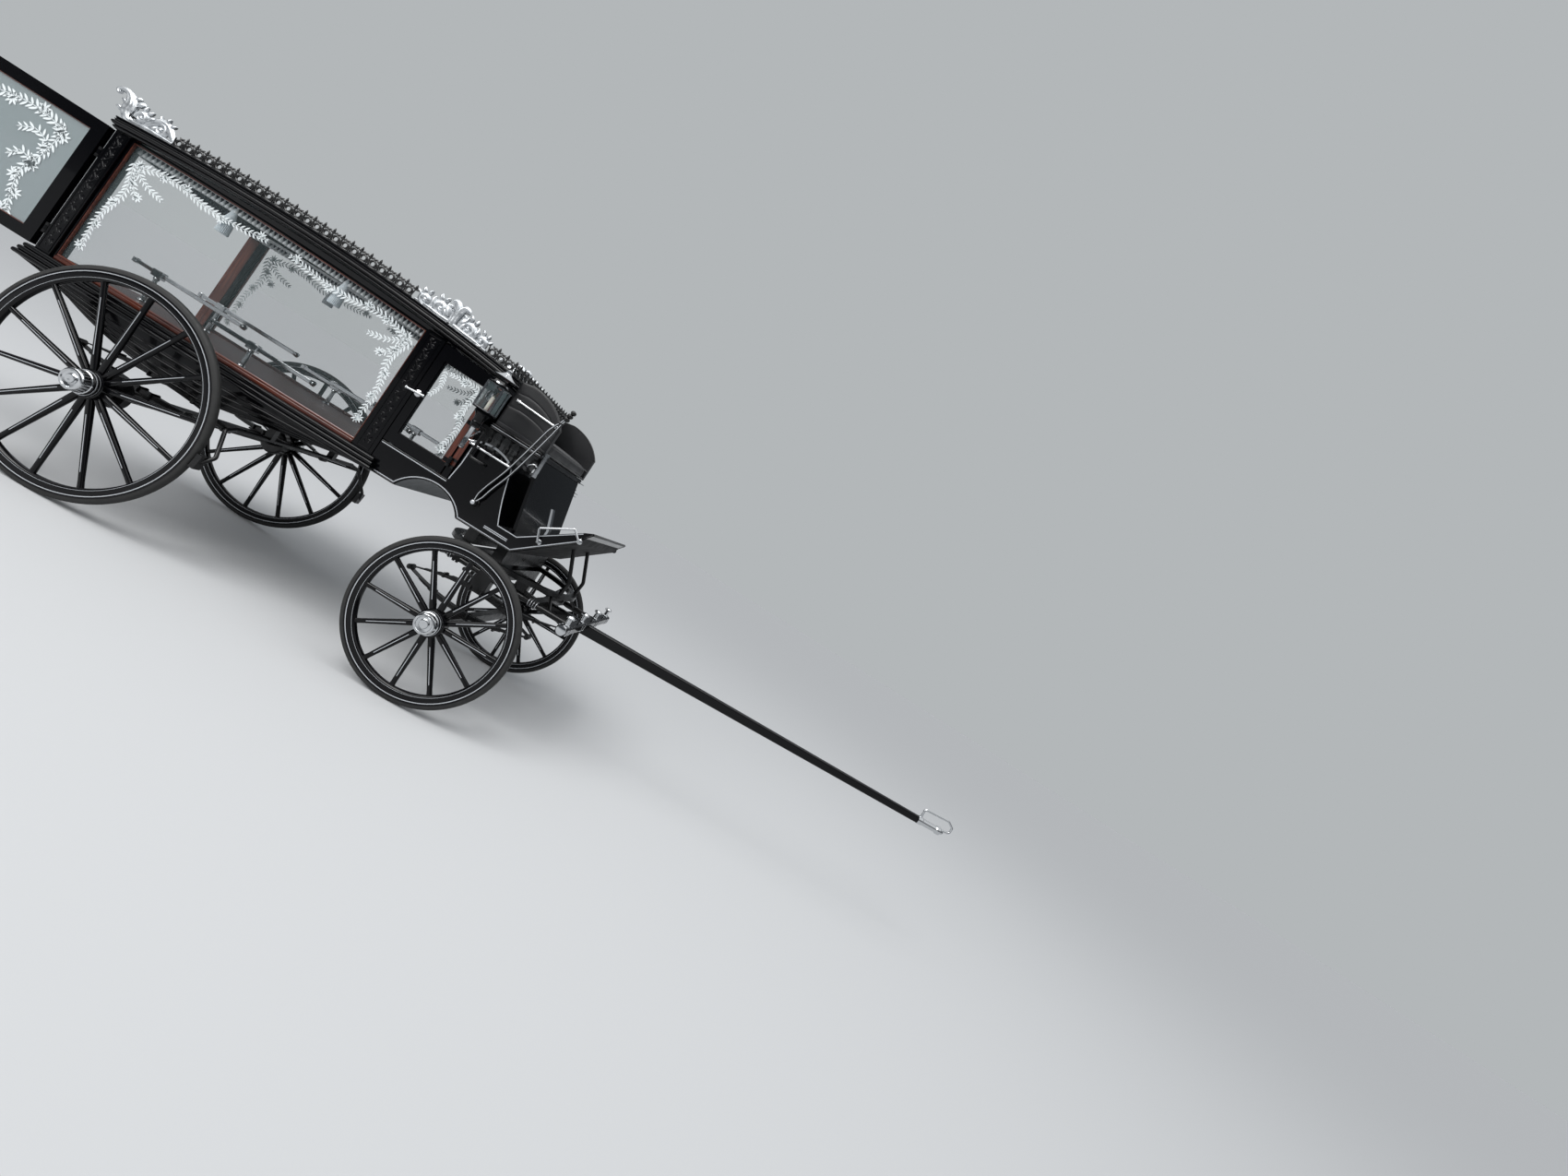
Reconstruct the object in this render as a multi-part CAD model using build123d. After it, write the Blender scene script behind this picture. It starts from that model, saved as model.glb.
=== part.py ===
from build123d import *
from math import cos, pi, radians, sin, sqrt
import os

# Horse-drawn glass hearse. Millimetres, +X forward, +Y left, +Z up, ground at Z = 0.
# Stations along X are given from the rear axle, then moved so that X = 0 is mid length.

# Overall stations
wheelbase = 2192.0
ahead = wheelbase + 3638.0  # rear axle to the front of the pole head
door_pivot_back = 862.0     # rear axle back to the pin of the rear door
door_width = 1060.0
door_edge_gap = 15.0        # pin to the near edge of the door
behind = door_pivot_back + door_edge_gap + door_width
rear_axle_x = (behind - ahead) / 2
front_axle_x = rear_axle_x + wheelbase


def along(distance):
    """Place along X of a station given from the rear axle."""
    return rear_axle_x + distance


def fore(distance):
    """Place along X of a station given from the front axle."""
    return front_axle_x + distance


# Wheels
track = 1490.0
rear_wheel_r = 650.0
front_wheel_r = 497.5
rear_spokes = 14
front_spokes = 12
tyre_width = 45.0
tyre_depth = 39.0
felloe_width = 42.0
felloe_depth = 48.0
hub_r = 84.0
hub_neck_r = 66.0
hub_inner = 78.0            # hub length inwards from the wheel's middle plane
hub_outer = 62.0
rear_cap_length = 62.0
front_cap_length = 44.0
cap_r = 64.0
spoke_foot = (38.0, 30.0)   # across the wheel's face, along the axle
spoke_tip = (27.0, 23.0)
arm_r = 22.0                # axle arm that the hub turns on
running_fit = 0.05

# Axles and springs
axle_half = 27.0
drum_r = 95.0
spring_half_width = 26.0
leaf = 13.0                 # thickness of one spring pack at its middle
rear_spring_y = 450.0
rear_spring_half = 470.0    # half the length between eyes
front_spring_y = 400.0
front_spring_half = 413.0
eye_r = 17.0
front_spring_height = 190.0

# Body shell
side_y = 560.0              # outer face of posts and panels
sill_top = 1100.0
sill_bottom = 1020.0
reeds = 3
reed_step = 9.0             # each lower reed stands out by this much
sill_half = 596.0           # half width of the top reed
belly_bottom = 830.0
post_rear = 840.0           # rear face of the rear posts, behind the axle
rear_post_width = 85.0
post_depth = 85.0
front_post = wheelbase - 1017.0  # rear face of the front posts, ahead of the axle
front_post_width = 125.0
bead = 15.0
bead_y = 545.0              # outer face of the window bead
glass_y = 530.0             # middle of the side glass
glass_t = 6.0
deck_t = 18.0
bulkhead_x = wheelbase - 495.0
bulkhead_t = 38.0

# Roof
roof_rear = 890.0           # rear end of the cornice, behind the axle
roof_front = wheelbase - 430.0
roof_half = 652.0
cornice_line = (1970.0, 2032.0, 1948.0)     # top of the cornice at its rear end, crown and front end
frame_line = (1912.0, 1930.0, 1880.0)       # its underside, where posts and windows end, at the same places
frame_low = 1870.0          # below every point of the underside
frame_high = 1940.0         # above every point of it
cornice_ring = 120.0        # width of the cornice seen from below
roof_board = 14.0
crest_pitch = 62.5
crest_height = 88.0
crest_t = 10.0
crest_inset = 22.0          # cornice edge to the outer face of the cresting
scroll_t = 34.0

# Quarter doors
quarter_rear = wheelbase - 886.0  # rear edge of each quarter door, ahead of the axle
quarter_front = wheelbase - 504.0
quarter_bottom = 1222.0
quarter_gap = 6.0           # cornice to the top of the quarter doors
quarter_t = 30.0
quarter_stiles = (52.0, 34.0)
quarter_rails = (72.0, 136.0)   # bottom and top, before the top is cut to the cornice
quarter_pin_gap = 12.0
pin_r = 8.0

# Rear door
door_bottom = 1106.0
door_top = 1905.0
door_t = 34.0
door_stile = 78.0
door_rail = 66.0

# Driver's box
panel_bottom = 1022.0
panel_top = 1215.0
boot_rear = wheelbase - 442.0
boot_half = 560.0
seat_board_z = 1475.0
boot_bottom = 1043.0
seat_half = 505.0
seat_z = 1650.0             # underside of the leather
heel_inset = 45.0           # outer face of the wings to the edge of the heel board
wing_t = 42.0

# Lamps
lamp_x = wheelbase - 405.0
lamp_y = 742.0
lamp_size = 108.0
lamp_bottom = 1668.0
lamp_top = 1850.0
lamp_frame = 9.0

# Fore-carriage
ring_r = 425.0              # middle of the turntable ring
ring_w = 46.0
ring_t = 16.0
ring_z = 913.0              # face between the upper and the lower ring
face_gap = 0.3
kingpin_r = 18.0
futchell_y = 330.0
futchell_z = 808.0
futchell_r = 24.0
splinter_x = wheelbase + 608.0
splinter_half = 640.0
splinter_z = 822.0
roller_y = (200.0, 575.0)
pole_root_x = wheelbase + 308.0
pole_tip_x = wheelbase + 3368.0
pole_root_z = 775.0
pole_tip_z = 872.0
pole_w = 62.0
pole_h = 84.0


# Shapes used again and again
def block(x0, x1, y0, y1, z0, z1):
    """A box between two corners."""
    return Pos(x0, y0, z0) * Box(x1 - x0, y1 - y0, z1 - z0, align=(Align.MIN, Align.MIN, Align.MIN))


def upright(foot, radius, height):
    """A cylinder standing on its foot."""
    return Pos(*foot) * Cylinder(radius, height, align=(Align.CENTER, Align.CENTER, Align.MIN))


def plate(points, y0, y1):
    """A side outline in X and Z, thick from y0 to y1. (x, z, xm, zm) arrives by an arc through xm, zm."""
    edges = []
    last = points[-1]
    for point in points:
        start, end = Vector(last[0], y0, last[1]), Vector(point[0], y0, point[1])
        if len(point) == 4:
            edges.append(ThreePointArc(start, Vector(point[2], y0, point[3]), end))
        else:
            edges.append(Line(start, end))
        last = point
    return extrude(Face(Wire(edges)), amount=y1 - y0, dir=(0, 1, 0))


def rod(points, radius, bend=0.0):
    """A round bar along straight runs, with an arc of radius bend at each corner."""
    path = FilletPolyline(*points, radius=bend) if bend else Polyline(*points)
    section = Plane(origin=path @ 0, z_dir=path % 0) * Circle(radius)
    return sweep(section, path=path)


def turned(stations, origin, direction, side):
    """A lathe-turned piece: stations are (distance along direction, radius) pairs."""
    ends = [(stations[0][0], 0.0)] + list(stations) + [(stations[-1][0], 0.0)]
    section = make_face(Polyline(*ends, close=True))
    frame = Plane(origin=origin, x_dir=direction, z_dir=side)
    return revolve(frame * section, axis=Axis(origin, direction))


def pair(solid):
    """A piece on the right side with its mirror image on the left."""
    return [solid, mirror(solid, about=Plane.XZ)]


# Wheels: tyre, turned and spoked woodwork, polished cap
def wheel(x, radius, spokes, side, cap_length):
    """side is -1 on the right and 1 on the left; distances along the axle are outwards."""
    middle = (x, side * track / 2, radius)
    out = (0, side, 0)
    half = tyre_width / 2
    rim_r = radius - tyre_depth
    felloe_r = rim_r - felloe_depth
    frame = Plane(origin=middle, x_dir=out, z_dir=(1, 0, 0))
    up = frame.y_dir.Z

    def swept(corners):
        flat = make_face(Polyline(*[(a, up * r) for a, r in corners], close=True))
        return revolve(frame * flat, axis=Axis(middle, out))

    shoulder = tyre_depth * 0.45
    tyre = swept([(-half, rim_r), (half, rim_r), (half, radius - shoulder), (half * 0.62, radius - 5),
                  (half * 0.2, radius), (-half * 0.2, radius), (-half * 0.62, radius - 5),
                  (-half, radius - shoulder)])
    f = felloe_width / 2
    bevel = 7.0
    rim = swept([(-f, rim_r), (f, rim_r), (f, felloe_r + bevel), (f - bevel, felloe_r),
                 (bevel - f, felloe_r), (-f, felloe_r + bevel)])
    bore = arm_r + running_fit
    hub = swept([(-hub_inner, bore), (-hub_inner, hub_neck_r - 8), (-hub_inner + 10, hub_neck_r),
                 (-32, hub_neck_r + 4), (-26, hub_r), (26, hub_r), (32, hub_neck_r + 4),
                 (hub_outer, hub_neck_r), (hub_outer, bore)])
    foot_r = hub_r - 6
    spoke_set = []
    for k in range(spokes):
        angle = pi / 2 + 2 * pi * k / spokes
        ray = Vector(cos(angle), 0, sin(angle))
        across = Vector(0, 1, 0)
        low = Plane(origin=Vector(*middle) + ray * foot_r, x_dir=across, z_dir=ray)
        high = Plane(origin=Vector(*middle) + ray * (felloe_r + 4), x_dir=across, z_dir=ray)
        spoke_set.append(loft([low * Ellipse(spoke_foot[1] / 2, spoke_foot[0] / 2),
                               high * Ellipse(spoke_tip[1] / 2, spoke_tip[0] / 2)]))
    wood = rim.fuse(hub, *spoke_set)
    rest = cap_length - 12
    cap = turned([(0, cap_r), (rest, cap_r), (rest + 8, cap_r - 5), (rest + 10, cap_r - 12),
                  (rest + 4, cap_r - 20), (rest + 4, 22), (cap_length, 20)],
                 (x, side * (track / 2 + hub_outer), radius), out, (1, 0, 0))
    return {"tyre": tyre, "wheel": wood, "hub_cap": cap}


def axle(x, z, spring_y):
    """Square beam with clip pads, a collar drum at each end and round arms for the hubs."""
    shoulder = track / 2 - hub_inner - 2
    beam = block(x - axle_half, x + axle_half, -shoulder, shoulder, z - axle_half, z + axle_half)
    for s in (-1, 1):
        arm = turned([(0, arm_r), (hub_inner + hub_outer, arm_r)], (x, s * shoulder, z), (0, s, 0), (1, 0, 0))
        pad = block(x - 60, x + 60, s * spring_y - 36, s * spring_y + 36,
                    z + axle_half - 4, z + axle_half + 8)
        beam = beam + arm + pad
    return beam


def leaf_pack(x, y, half, outer, inner):
    """One bent spring pack between two arcs, each given as (z at the middle, z at the ends)."""
    points = [(x - half, outer[1]), (x + half, outer[1], x, outer[0]), (x + half, inner[1]),
              (x - half, inner[1], x, inner[0])]
    return plate(points, y - spring_half_width, y + spring_half_width)


def elliptic_spring(x, y, z_low, z_high, half):
    """Full elliptic spring from z_low to z_high: a long and a short pack each way, joined at the eyes."""
    middle = (z_low + z_high) / 2
    short = 0.6
    spring = []
    for s, z in ((1, z_low), (-1, z_high)):
        end = middle - s * 6
        main = (z + s * leaf, end)
        spring.append(leaf_pack(x, y, half, main, (z + 2 * s * leaf, end + s * leaf * 0.5)))
        short_end = main[0] + (end - main[0]) * short ** 2
        inner = (z + s * (leaf + 2), short_end + s * 2)
        spring.append(leaf_pack(x, y, half * short, (z, short_end - s * 3), inner))
    for s in (-1, 1):
        width = spring_half_width + 6
        spring.append(turned([(0, eye_r), (2 * width, eye_r)], (x + s * half, y - width, middle),
                             (0, 1, 0), (1, 0, 0)))
    return spring[0].fuse(*spring[1:])


nodes = {}


def keep(name, *solids):
    """Store a node's solids, to be written at the end."""
    nodes[name] = list(solids)


# Wheels on all four corners
for place, x, r, count, cap_length in (
        ("rear", along(0), rear_wheel_r, rear_spokes, rear_cap_length),
        ("front", along(wheelbase), front_wheel_r, front_spokes, front_cap_length)):
    for side_name, side in (("right", -1), ("left", 1)):
        for piece, solid in wheel(x, r, count, side, cap_length).items():
            keep(f"{place}_{piece}_{side_name}", solid)

# Running gear under the body
rear_seat_z = rear_wheel_r + axle_half + 8          # top of the rear axle's spring pads
rear_drums = []
for s in (-1, 1):
    rear_drums.append(turned([(0, drum_r - 14), (8, drum_r), (52, drum_r), (60, hub_neck_r - 10)],
                             (along(0), s * (track / 2 - hub_inner - 64), rear_wheel_r), (0, s, 0),
                             (1, 0, 0)))
keep("rear_axle", axle(along(0), rear_wheel_r, rear_spring_y).fuse(*rear_drums))
rear_spring = elliptic_spring(along(0), -rear_spring_y, rear_seat_z, belly_bottom, rear_spring_half)
keep("rear_springs", *pair(rear_spring))

# Belly under the sill: stepped boards, each with an arched rear and a straight rise to the front
belly_steps = [  # lowest point, half width, set back at both ends
    (958.0, 588.0, 0.0), (915.0, 566.0, 26.0), (872.0, 542.0, 58.0), (belly_bottom, 516.0, 96.0)]
belly_flat = (40.0, 300.0)                          # level stretch of the belly, ahead of the axle
belly_ends = (-880.0, wheelbase - 842.0)
boards = []
for low, half, back in belly_steps:
    rear, front = belly_ends[0] + back, belly_ends[1] - back
    knee = (rear + (belly_flat[0] - rear) * 0.45, low + (sill_bottom - low) * 0.33)
    outline = [(along(rear), sill_bottom), (along(belly_flat[0]), low, along(knee[0]), knee[1]),
               (along(belly_flat[1]), low), (along(front), sill_bottom)]
    boards.append(plate(outline, -half, half))
belly = boards[0].fuse(*boards[1:])
keep("belly", belly)

# Sill: three round-nosed reeds, stepping outwards as they go down
reed_h = (sill_top - sill_bottom) / reeds
layers = []
for k in range(reeds):
    grow = reed_step * k
    z1 = sill_top - reed_h * k
    layer = block(along(-post_rear - 20 - grow), along(front_post + front_post_width + 45 + grow),
                  -sill_half - grow, sill_half + grow, z1 - reed_h, z1)
    rims = [e for e in layer.edges() if abs(e.center().Z - z1) < 0.1 or abs(e.center().Z - z1 + reed_h) < 0.1]
    layers.append(fillet(rims, reed_h * 0.42))
quarter_seat = block(along(quarter_rear), along(quarter_rear + 200), -boot_half, boot_half,
                     sill_bottom, sill_top)
keep("sill", layers[0].fuse(*layers[1:]) - quarter_seat)

# Two bowed lines: the top of the cornice, and its underside, where posts, windows and doors end
crest_seat = 8.0                                    # cornice edge to the foot of its top fillet
roof_mid = along((roof_front - roof_rear) / 2)
roof_reach = (roof_front + roof_rear) / 2 - crest_seat


def bowed(heights):
    """Height of a bowed line at a place along X: an arc through its rear end, crown and front end."""
    rear, crown, front = heights
    mid = Vector(roof_mid, crown)
    a, b = Vector(roof_mid - roof_reach, rear), Vector(roof_mid + roof_reach, front)
    cross = 2 * ((a.X - mid.X) * (b.Y - mid.Y) - (b.X - mid.X) * (a.Y - mid.Y))
    aa, bb = (a - mid).length ** 2, (b - mid).length ** 2
    cx = mid.X + ((b.Y - mid.Y) * aa - (a.Y - mid.Y) * bb) / cross
    cz = mid.Y + ((a.X - mid.X) * bb - (b.X - mid.X) * aa) / cross
    radius = sqrt((mid.X - cx) ** 2 + (mid.Y - cz) ** 2)
    return lambda x: cz + sqrt(radius ** 2 - (x - cx) ** 2)


roof_z, under_z = bowed(cornice_line), bowed(frame_line)


def below_roof(gap=0.0):
    """Everything under the cornice's underside, less a gap: what posts, panes and doors are cut to."""
    x0, x1 = roof_mid - roof_reach - 40, roof_mid + roof_reach + 40
    points = [(x0, 900), (x1, 900), (x1, under_z(x1) - gap),
              (x0, under_z(x0) - gap, roof_mid, frame_line[1] - gap)]
    return plate(points, -700, 700)


# Posts: two at the rear, two at the front of the long windows
posts = []
for x0, width in ((-post_rear, rear_post_width), (front_post, front_post_width)):
    post = block(along(x0), along(x0 + width), -side_y, post_depth - side_y, sill_top, frame_high)
    posts += pair(post & below_roof())
keep("body_posts", *posts)

# Deck floor between the posts, up to the bulkhead
deck_half = side_y - post_depth - 2
keep("deck_floor", block(along(-post_rear + 8), along(quarter_rear), -deck_half, deck_half,
                         sill_top, sill_top + deck_t))

# Window beads, glass and their rebates
window = (along(-post_rear + rear_post_width), along(front_post), sill_top, frame_high)
beads = []
outer_bead = block(window[0], window[1], -bead_y, -bead_y + bead, window[2], window[3])
inner_bead = block(window[0] + bead, window[1] - bead, -bead_y - 1, -bead_y + bead + 1,
                   window[2] + 2 * bead, window[3]) & below_roof(bead)
keep("window_beads", *pair((outer_bead & below_roof()) - inner_bead))
pane_y = -bead_y + bead
side_pane = block(window[0], window[1], pane_y, pane_y + glass_t, window[2], window[3])
keep("side_glass", *pair(side_pane & below_roof()))

# Front quarter: closed base with the wheel arch, a jamb at each side and the bulkhead
arch = (wheelbase - 693.0, wheelbase - 287.0, 1152.0)   # rear foot, front foot, crown height
arch_mid = (arch[0] + arch[1]) / 2
base_outline = [(along(quarter_rear), panel_bottom), (along(arch[0]), panel_bottom),
                (along(arch[1]), boot_bottom, along(arch_mid), arch[2]),
                (fore(86), boot_bottom), (fore(402), 1306), (fore(418), 1352), (fore(452), 1392),
                (fore(446), 1404), (fore(398), 1380), (fore(70), 1146), (fore(-54), 1146),
                (fore(-164), seat_board_z, fore(-122), 1316),
                (along(boot_rear), seat_board_z), (along(boot_rear), panel_top),
                (along(quarter_rear), panel_top)]
lower_body = plate(base_outline, -boot_half, boot_half)
tray = block(along(quarter_rear + 34), along(bulkhead_x - 4), 34 - boot_half, boot_half - 34,
             panel_top - 30, panel_top + 10)
split = block(along(boot_rear), fore(808), -boot_half - 10, boot_half + 10, 900, 1600)
keep("quarter_base", lower_body - split - tray)
heel_board = plate([(fore(-106), seat_z - 36), (fore(-2), 1140), (fore(18), 1140), (fore(-86), seat_z - 36)],
                   heel_inset - seat_half, seat_half - heel_inset)
keep("boot_body", (lower_body & split).fuse(heel_board - lower_body))
bulkhead = block(along(bulkhead_x), along(bulkhead_x + bulkhead_t), -side_y, side_y, panel_top, frame_high)
keep("bulkhead", bulkhead & below_roof())


# Cornice, roof board and cresting, all under one crowned line
def crown_layer(inset, drop, next_drop=None):
    """A layer of the roof between two crowned lines below the top one, or down to the posts."""
    x0, x1 = along(-roof_rear + inset), along(roof_front - inset)
    points = [(x0, roof_z(x0) - drop), (x1, roof_z(x1) - drop, roof_mid, cornice_line[1] - drop)]
    if next_drop is None:
        points += [(x1, under_z(x1)), (x0, under_z(x0), roof_mid, frame_line[1])]
    else:
        points += [(x1, roof_z(x1) - next_drop),
                   (x0, roof_z(x0) - next_drop, roof_mid, cornice_line[1] - next_drop)]
    return plate(points, inset - roof_half, roof_half - inset)


cornice_layers = [  # set in from the edge, top and bottom below the crowned line
    (crest_seat, 0.0, 14.0), (0.0, 14.0, 40.0), (10.0, 40.0, 52.0), (34.0, 52.0, None)]
layers = [crown_layer(inset, top, bottom) for inset, top, bottom in cornice_layers]
well = block(along(-roof_rear + cornice_ring), along(roof_front - cornice_ring), cornice_ring - roof_half,
             roof_half - cornice_ring, frame_low, cornice_line[1] + 1)
keep("cornice", layers[0].fuse(*layers[1:]) - well)
board_drop = 20.0
keep("roof_board", crown_layer(crest_seat, board_drop, board_drop + roof_board) & well)
roof_solid = crown_layer(crest_seat, 0.0)


def crest(places, x, y, run):
    """A cast row of pierced rings, each with a spear: standing at x, y, spaced along the direction run."""
    half = crest_pitch / 2
    units = []
    for s, z in places:
        body = [(-half, -crest_seat), (half, -crest_seat), (half, 12), (half * 0.8, 46), (9, 52), (15, 64),
                (4, 66), (0, crest_height), (-4, 66), (-15, 64), (-9, 52), (-half * 0.8, 46), (-half, 12)]
        eye = [(16 * cos(k * pi / 3), 31 + 16 * sin(k * pi / 3)) for k in range(6)]
        faces = []
        for ring in (body, eye):
            corners = [Vector(x + run[0] * (s + a), y + run[1] * (s + a), z + h) for a, h in ring]
            faces.append(Face(Wire.make_polygon(corners, close=True)))
        units.append(extrude(faces[0] - faces[1], amount=crest_t, dir=(run[1], -run[0], 0)))
    return units[0].fuse(*units[1:]) - roof_solid


crest_rows = [(-498.0, front_post - 171), (wheelbase - 637.0, wheelbase - 510.0)]   # first and last ring
crest_edge = crest_seat + crest_inset
runs = []
for first, last in crest_rows:
    count = int((last - first) / crest_pitch) + 1
    stations = [along(first + k * crest_pitch) for k in range(count)]
    runs += pair(crest([(x, roof_z(x)) for x in stations], 0, crest_edge - roof_half, (1, 0)))
end_count = 18
for x in (along(-roof_rear + crest_edge), along(roof_front - crest_edge) - crest_t):
    stations = [(k - (end_count - 1) / 2) * crest_pitch for k in range(end_count)]
    runs.append(crest([(y, roof_z(x + crest_t / 2)) for y in stations], x, 0, (0, 1)))
keep("cresting", *runs)

# Silver scrolls: one at each rear corner, a double one over each front post
scroll_y = crest_edge + 12 - roof_half


def scroll(points):
    """A carved scroll as its outline, standing on the cornice at the right side."""
    return plate(points, scroll_y - scroll_t / 2, scroll_y + scroll_t / 2) - roof_solid


rear_scroll = scroll([(along(-850), 1955), (along(-530), 1990), (along(-620), 2085, along(-560), 2062),
                      (along(-690), 2045, along(-665), 2078), (along(-770), 2100, along(-742), 2052),
                      (along(-838), 2148, along(-795), 2146), (along(-856), 2122, along(-856), 2138),
                      (along(-822), 2108, along(-836), 2120), (along(-832), 2030, along(-812), 2066)])
front_scroll = scroll([(fore(-1147), 1960), (fore(-692), 1940), (fore(-712), 2010, fore(-687), 1980),
                       (fore(-817), 2052, fore(-752), 2046), (fore(-862), 2075, fore(-847), 2056),
                       (fore(-907), 2125, fore(-877), 2110), (fore(-952), 2078, fore(-938), 2112),
                       (fore(-1002), 2058, fore(-970), 2060), (fore(-1110), 2020, fore(-1072), 2052)])
keep("roof_scrolls", *pair(rear_scroll), *pair(front_scroll))

# Inside: pelmet with its ends, tassels, bright deck rails
pelmet_half = side_y - post_depth
pelmet_t = 8.0
pelmet_drop = 52.0
pelmet_x = (along(-post_rear + 20), along(bulkhead_x))
pelmet_box = block(pelmet_x[0], pelmet_x[1], -pelmet_half, pelmet_half, 1800, frame_high) & below_roof()
pelmet_hole = block(pelmet_x[0] + pelmet_t, pelmet_x[1] - pelmet_t, pelmet_t - pelmet_half,
                    pelmet_half - pelmet_t, 1790, frame_high + 1)
pelmet_box = pelmet_box - below_roof(pelmet_drop)
keep("pelmet", pelmet_box - pelmet_hole)
tassel_r = 24.0
tassel_profile = [(0, 6), (46, 9), (62, 20), (78, 15), (167, tassel_r)]
tassels = []
tassel_y = -pelmet_half - tassel_r + 2
for x in (along(-140), along(600)):
    hang_z = under_z(x) - 16
    bell = turned(tassel_profile, (x, tassel_y, hang_z), (0, 0, -1), (1, 0, 0))
    arm = block(x - 5, x + 5, tassel_y, -pelmet_half, hang_z - 12, hang_z - 2)
    tassels += pair(bell.fuse(arm) - pelmet_box)
keep("tassels", *tassels)
rail_r = 9.0
deck_z = sill_top + deck_t
rail_table = [  # start and end ahead of the axle, distance from the middle, height, place of the post
    (-690.0, 60.0, 240.0, 1318.0, -520.0), (20.0, 700.0, 400.0, 1262.0, 300.0),
    (front_post - 615, front_post - 55, 240.0, 1318.0, front_post - 275)]
rails = []
for start, end, y, z, post_x in rail_table:
    bar = rod([(along(start), -y, z), (along(end), -y, z)], rail_r)
    post = block(along(post_x) - 11, along(post_x) + 11, -y - 11, 11 - y, deck_z, z + 16)
    clamp = block(along(post_x) - 26, along(post_x) + 26, -y - 17, 17 - y, z - 18, z + 18)
    foot = turned([(0, 26), (6, 26), (12, 16)], (along(post_x), -y, deck_z), (0, 0, 1), (1, 0, 0))
    knob = turned([(-14, 13), (-4, 17), (8, 17), (16, 10)], (along(end), -y, z), (1, 0, 0), (0, 0, 1))
    rails += pair(bar.fuse(post, clamp, foot, knob))
keep("deck_rails", *rails)

# Driver's seat: riser on spindles, cushion, back and quarter-round wings
wing_x = (fore(-424), fore(-86))
seat_inner = seat_half - wing_t - 1
riser = [block(along(boot_rear + 2), wing_x[1], -seat_half, seat_half, seat_z - 36, seat_z)]
for x in (-402.0, -342.0, -282.0, -222.0):
    for y in (-seat_half + 24, seat_half - 24):
        riser.append(block(fore(x) - 13, fore(x) + 13, y - 7, y + 7, seat_board_z, seat_z - 34))
keep("seat_frame", riser[0].fuse(*riser[1:]))
cushion = block(wing_x[0] + 32, wing_x[1] + 14, -seat_inner, seat_inner, seat_z, seat_z + 96)
cushion = fillet(cushion.edges().filter_by(Axis.Z), 24)
back = block(wing_x[0] - 26, wing_x[0] + 30, -seat_inner, seat_inner, seat_z, seat_z + 226)
keep("seat_cushion", cushion, back)
wing = plate([(wing_x[0], seat_z), (wing_x[1], seat_z), (fore(-76), 1820),
              (fore(-342), 1974, fore(-182), 1928), (wing_x[0], 1958)], -seat_half, wing_t - seat_half)
keep("seat_wings", *pair(wing))

# Bright fittings on the box: rods, arched rails, wing rails, whip socket, footboard handles, pedal
rod_r = 7.0
whip_bore_r = 10.0
whip_floor = 20.0                                   # closed foot of the whip socket
fit_y = -boot_half - rod_r
rods = [rod([(fore(-447), fit_y, seat_board_z), (fore(-180), fit_y, seat_board_z)], rod_r)]
rods.append(rod([(fore(-380), -seat_half - rod_r, 1842), (fore(-102), -seat_half - rod_r, 1830)], rod_r))
handle_y = fit_y - 22
rods.append(rod([(fore(198), fit_y + rod_r, 1186), (fore(198), handle_y, 1186), (fore(163), handle_y, 1262),
                 (fore(343), handle_y, 1370), (fore(400), handle_y, 1318), (fore(400), fit_y + rod_r, 1318)],
                rod_r, 9))
rail_z = seat_board_z + 13
arch_rail = plate([(fore(-442), rail_z), (fore(-202), rail_z, fore(-324), rail_z + 29),
                   (fore(-202), rail_z + 12), (fore(-442), rail_z + 12, fore(-324), rail_z + 42)],
                  -boot_half, -boot_half + 12)
bright = []
for piece in rods:
    bright += pair(piece)
rail_feet = [block(x, x + 12, -boot_half, -boot_half + 12, seat_board_z, rail_z + 4)
             for x in (fore(-442), fore(-214))]
bright += pair(arch_rail.fuse(*rail_feet))
whip_foot = (fore(-66), -seat_half + 20, 1497)
whip_socket = turned([(0, 15), (12, 15), (12, 13), (150, 13), (150, 18), (168, 18)], whip_foot, (0, 0, 1),
                     (1, 0, 0))
whip_lug = block(wing_x[1], whip_foot[0], whip_foot[1] - 8, whip_foot[1] + 8, seat_z - 30, seat_z - 10)
whip_bore = upright((whip_foot[0], whip_foot[1], whip_foot[2] + whip_floor), whip_bore_r, 200)
bright.append(whip_socket + whip_lug - whip_bore)
bright.append(plate([(fore(146), 1189), (fore(160), 1197), (fore(160), 1256), (fore(110), 1388),
                     (fore(98), 1384), (fore(146), 1250)], -376, -330) - lower_body)
keep("bright_fittings", *bright)

# Square lamps on curved irons
half_lamp = lamp_size / 2
shell = block(along(lamp_x) - half_lamp, along(lamp_x) + half_lamp, -lamp_y - half_lamp, half_lamp - lamp_y,
              lamp_bottom, lamp_top)
inner = half_lamp - lamp_frame
for a, b in ((inner, half_lamp + 1), (half_lamp + 1, inner)):
    shell = shell - block(along(lamp_x) - a, along(lamp_x) + a, -lamp_y - b, b - lamp_y, lamp_bottom + 10,
                          lamp_top - 12)
lamp_axis = (along(lamp_x), -lamp_y, lamp_top)
hood = turned([(0, half_lamp - 4), (18, half_lamp - 10), (24, 36), (40, 34), (46, 66), (50, 66), (72, 22),
               (84, 14), (92, 16), (104, 5)], lamp_axis, (0, 0, 1), (1, 0, 0))
socket = turned([(0, 40), (12, 46), (34, 30), (70, 26), (99, 24), (101, 13), (241, 13)],
                (along(lamp_x), -lamp_y, lamp_bottom), (0, 0, -1), (1, 0, 0))
keep("lamp_bodies", *pair(shell.fuse(hood, socket)))
glass_half = inner - 2
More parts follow.
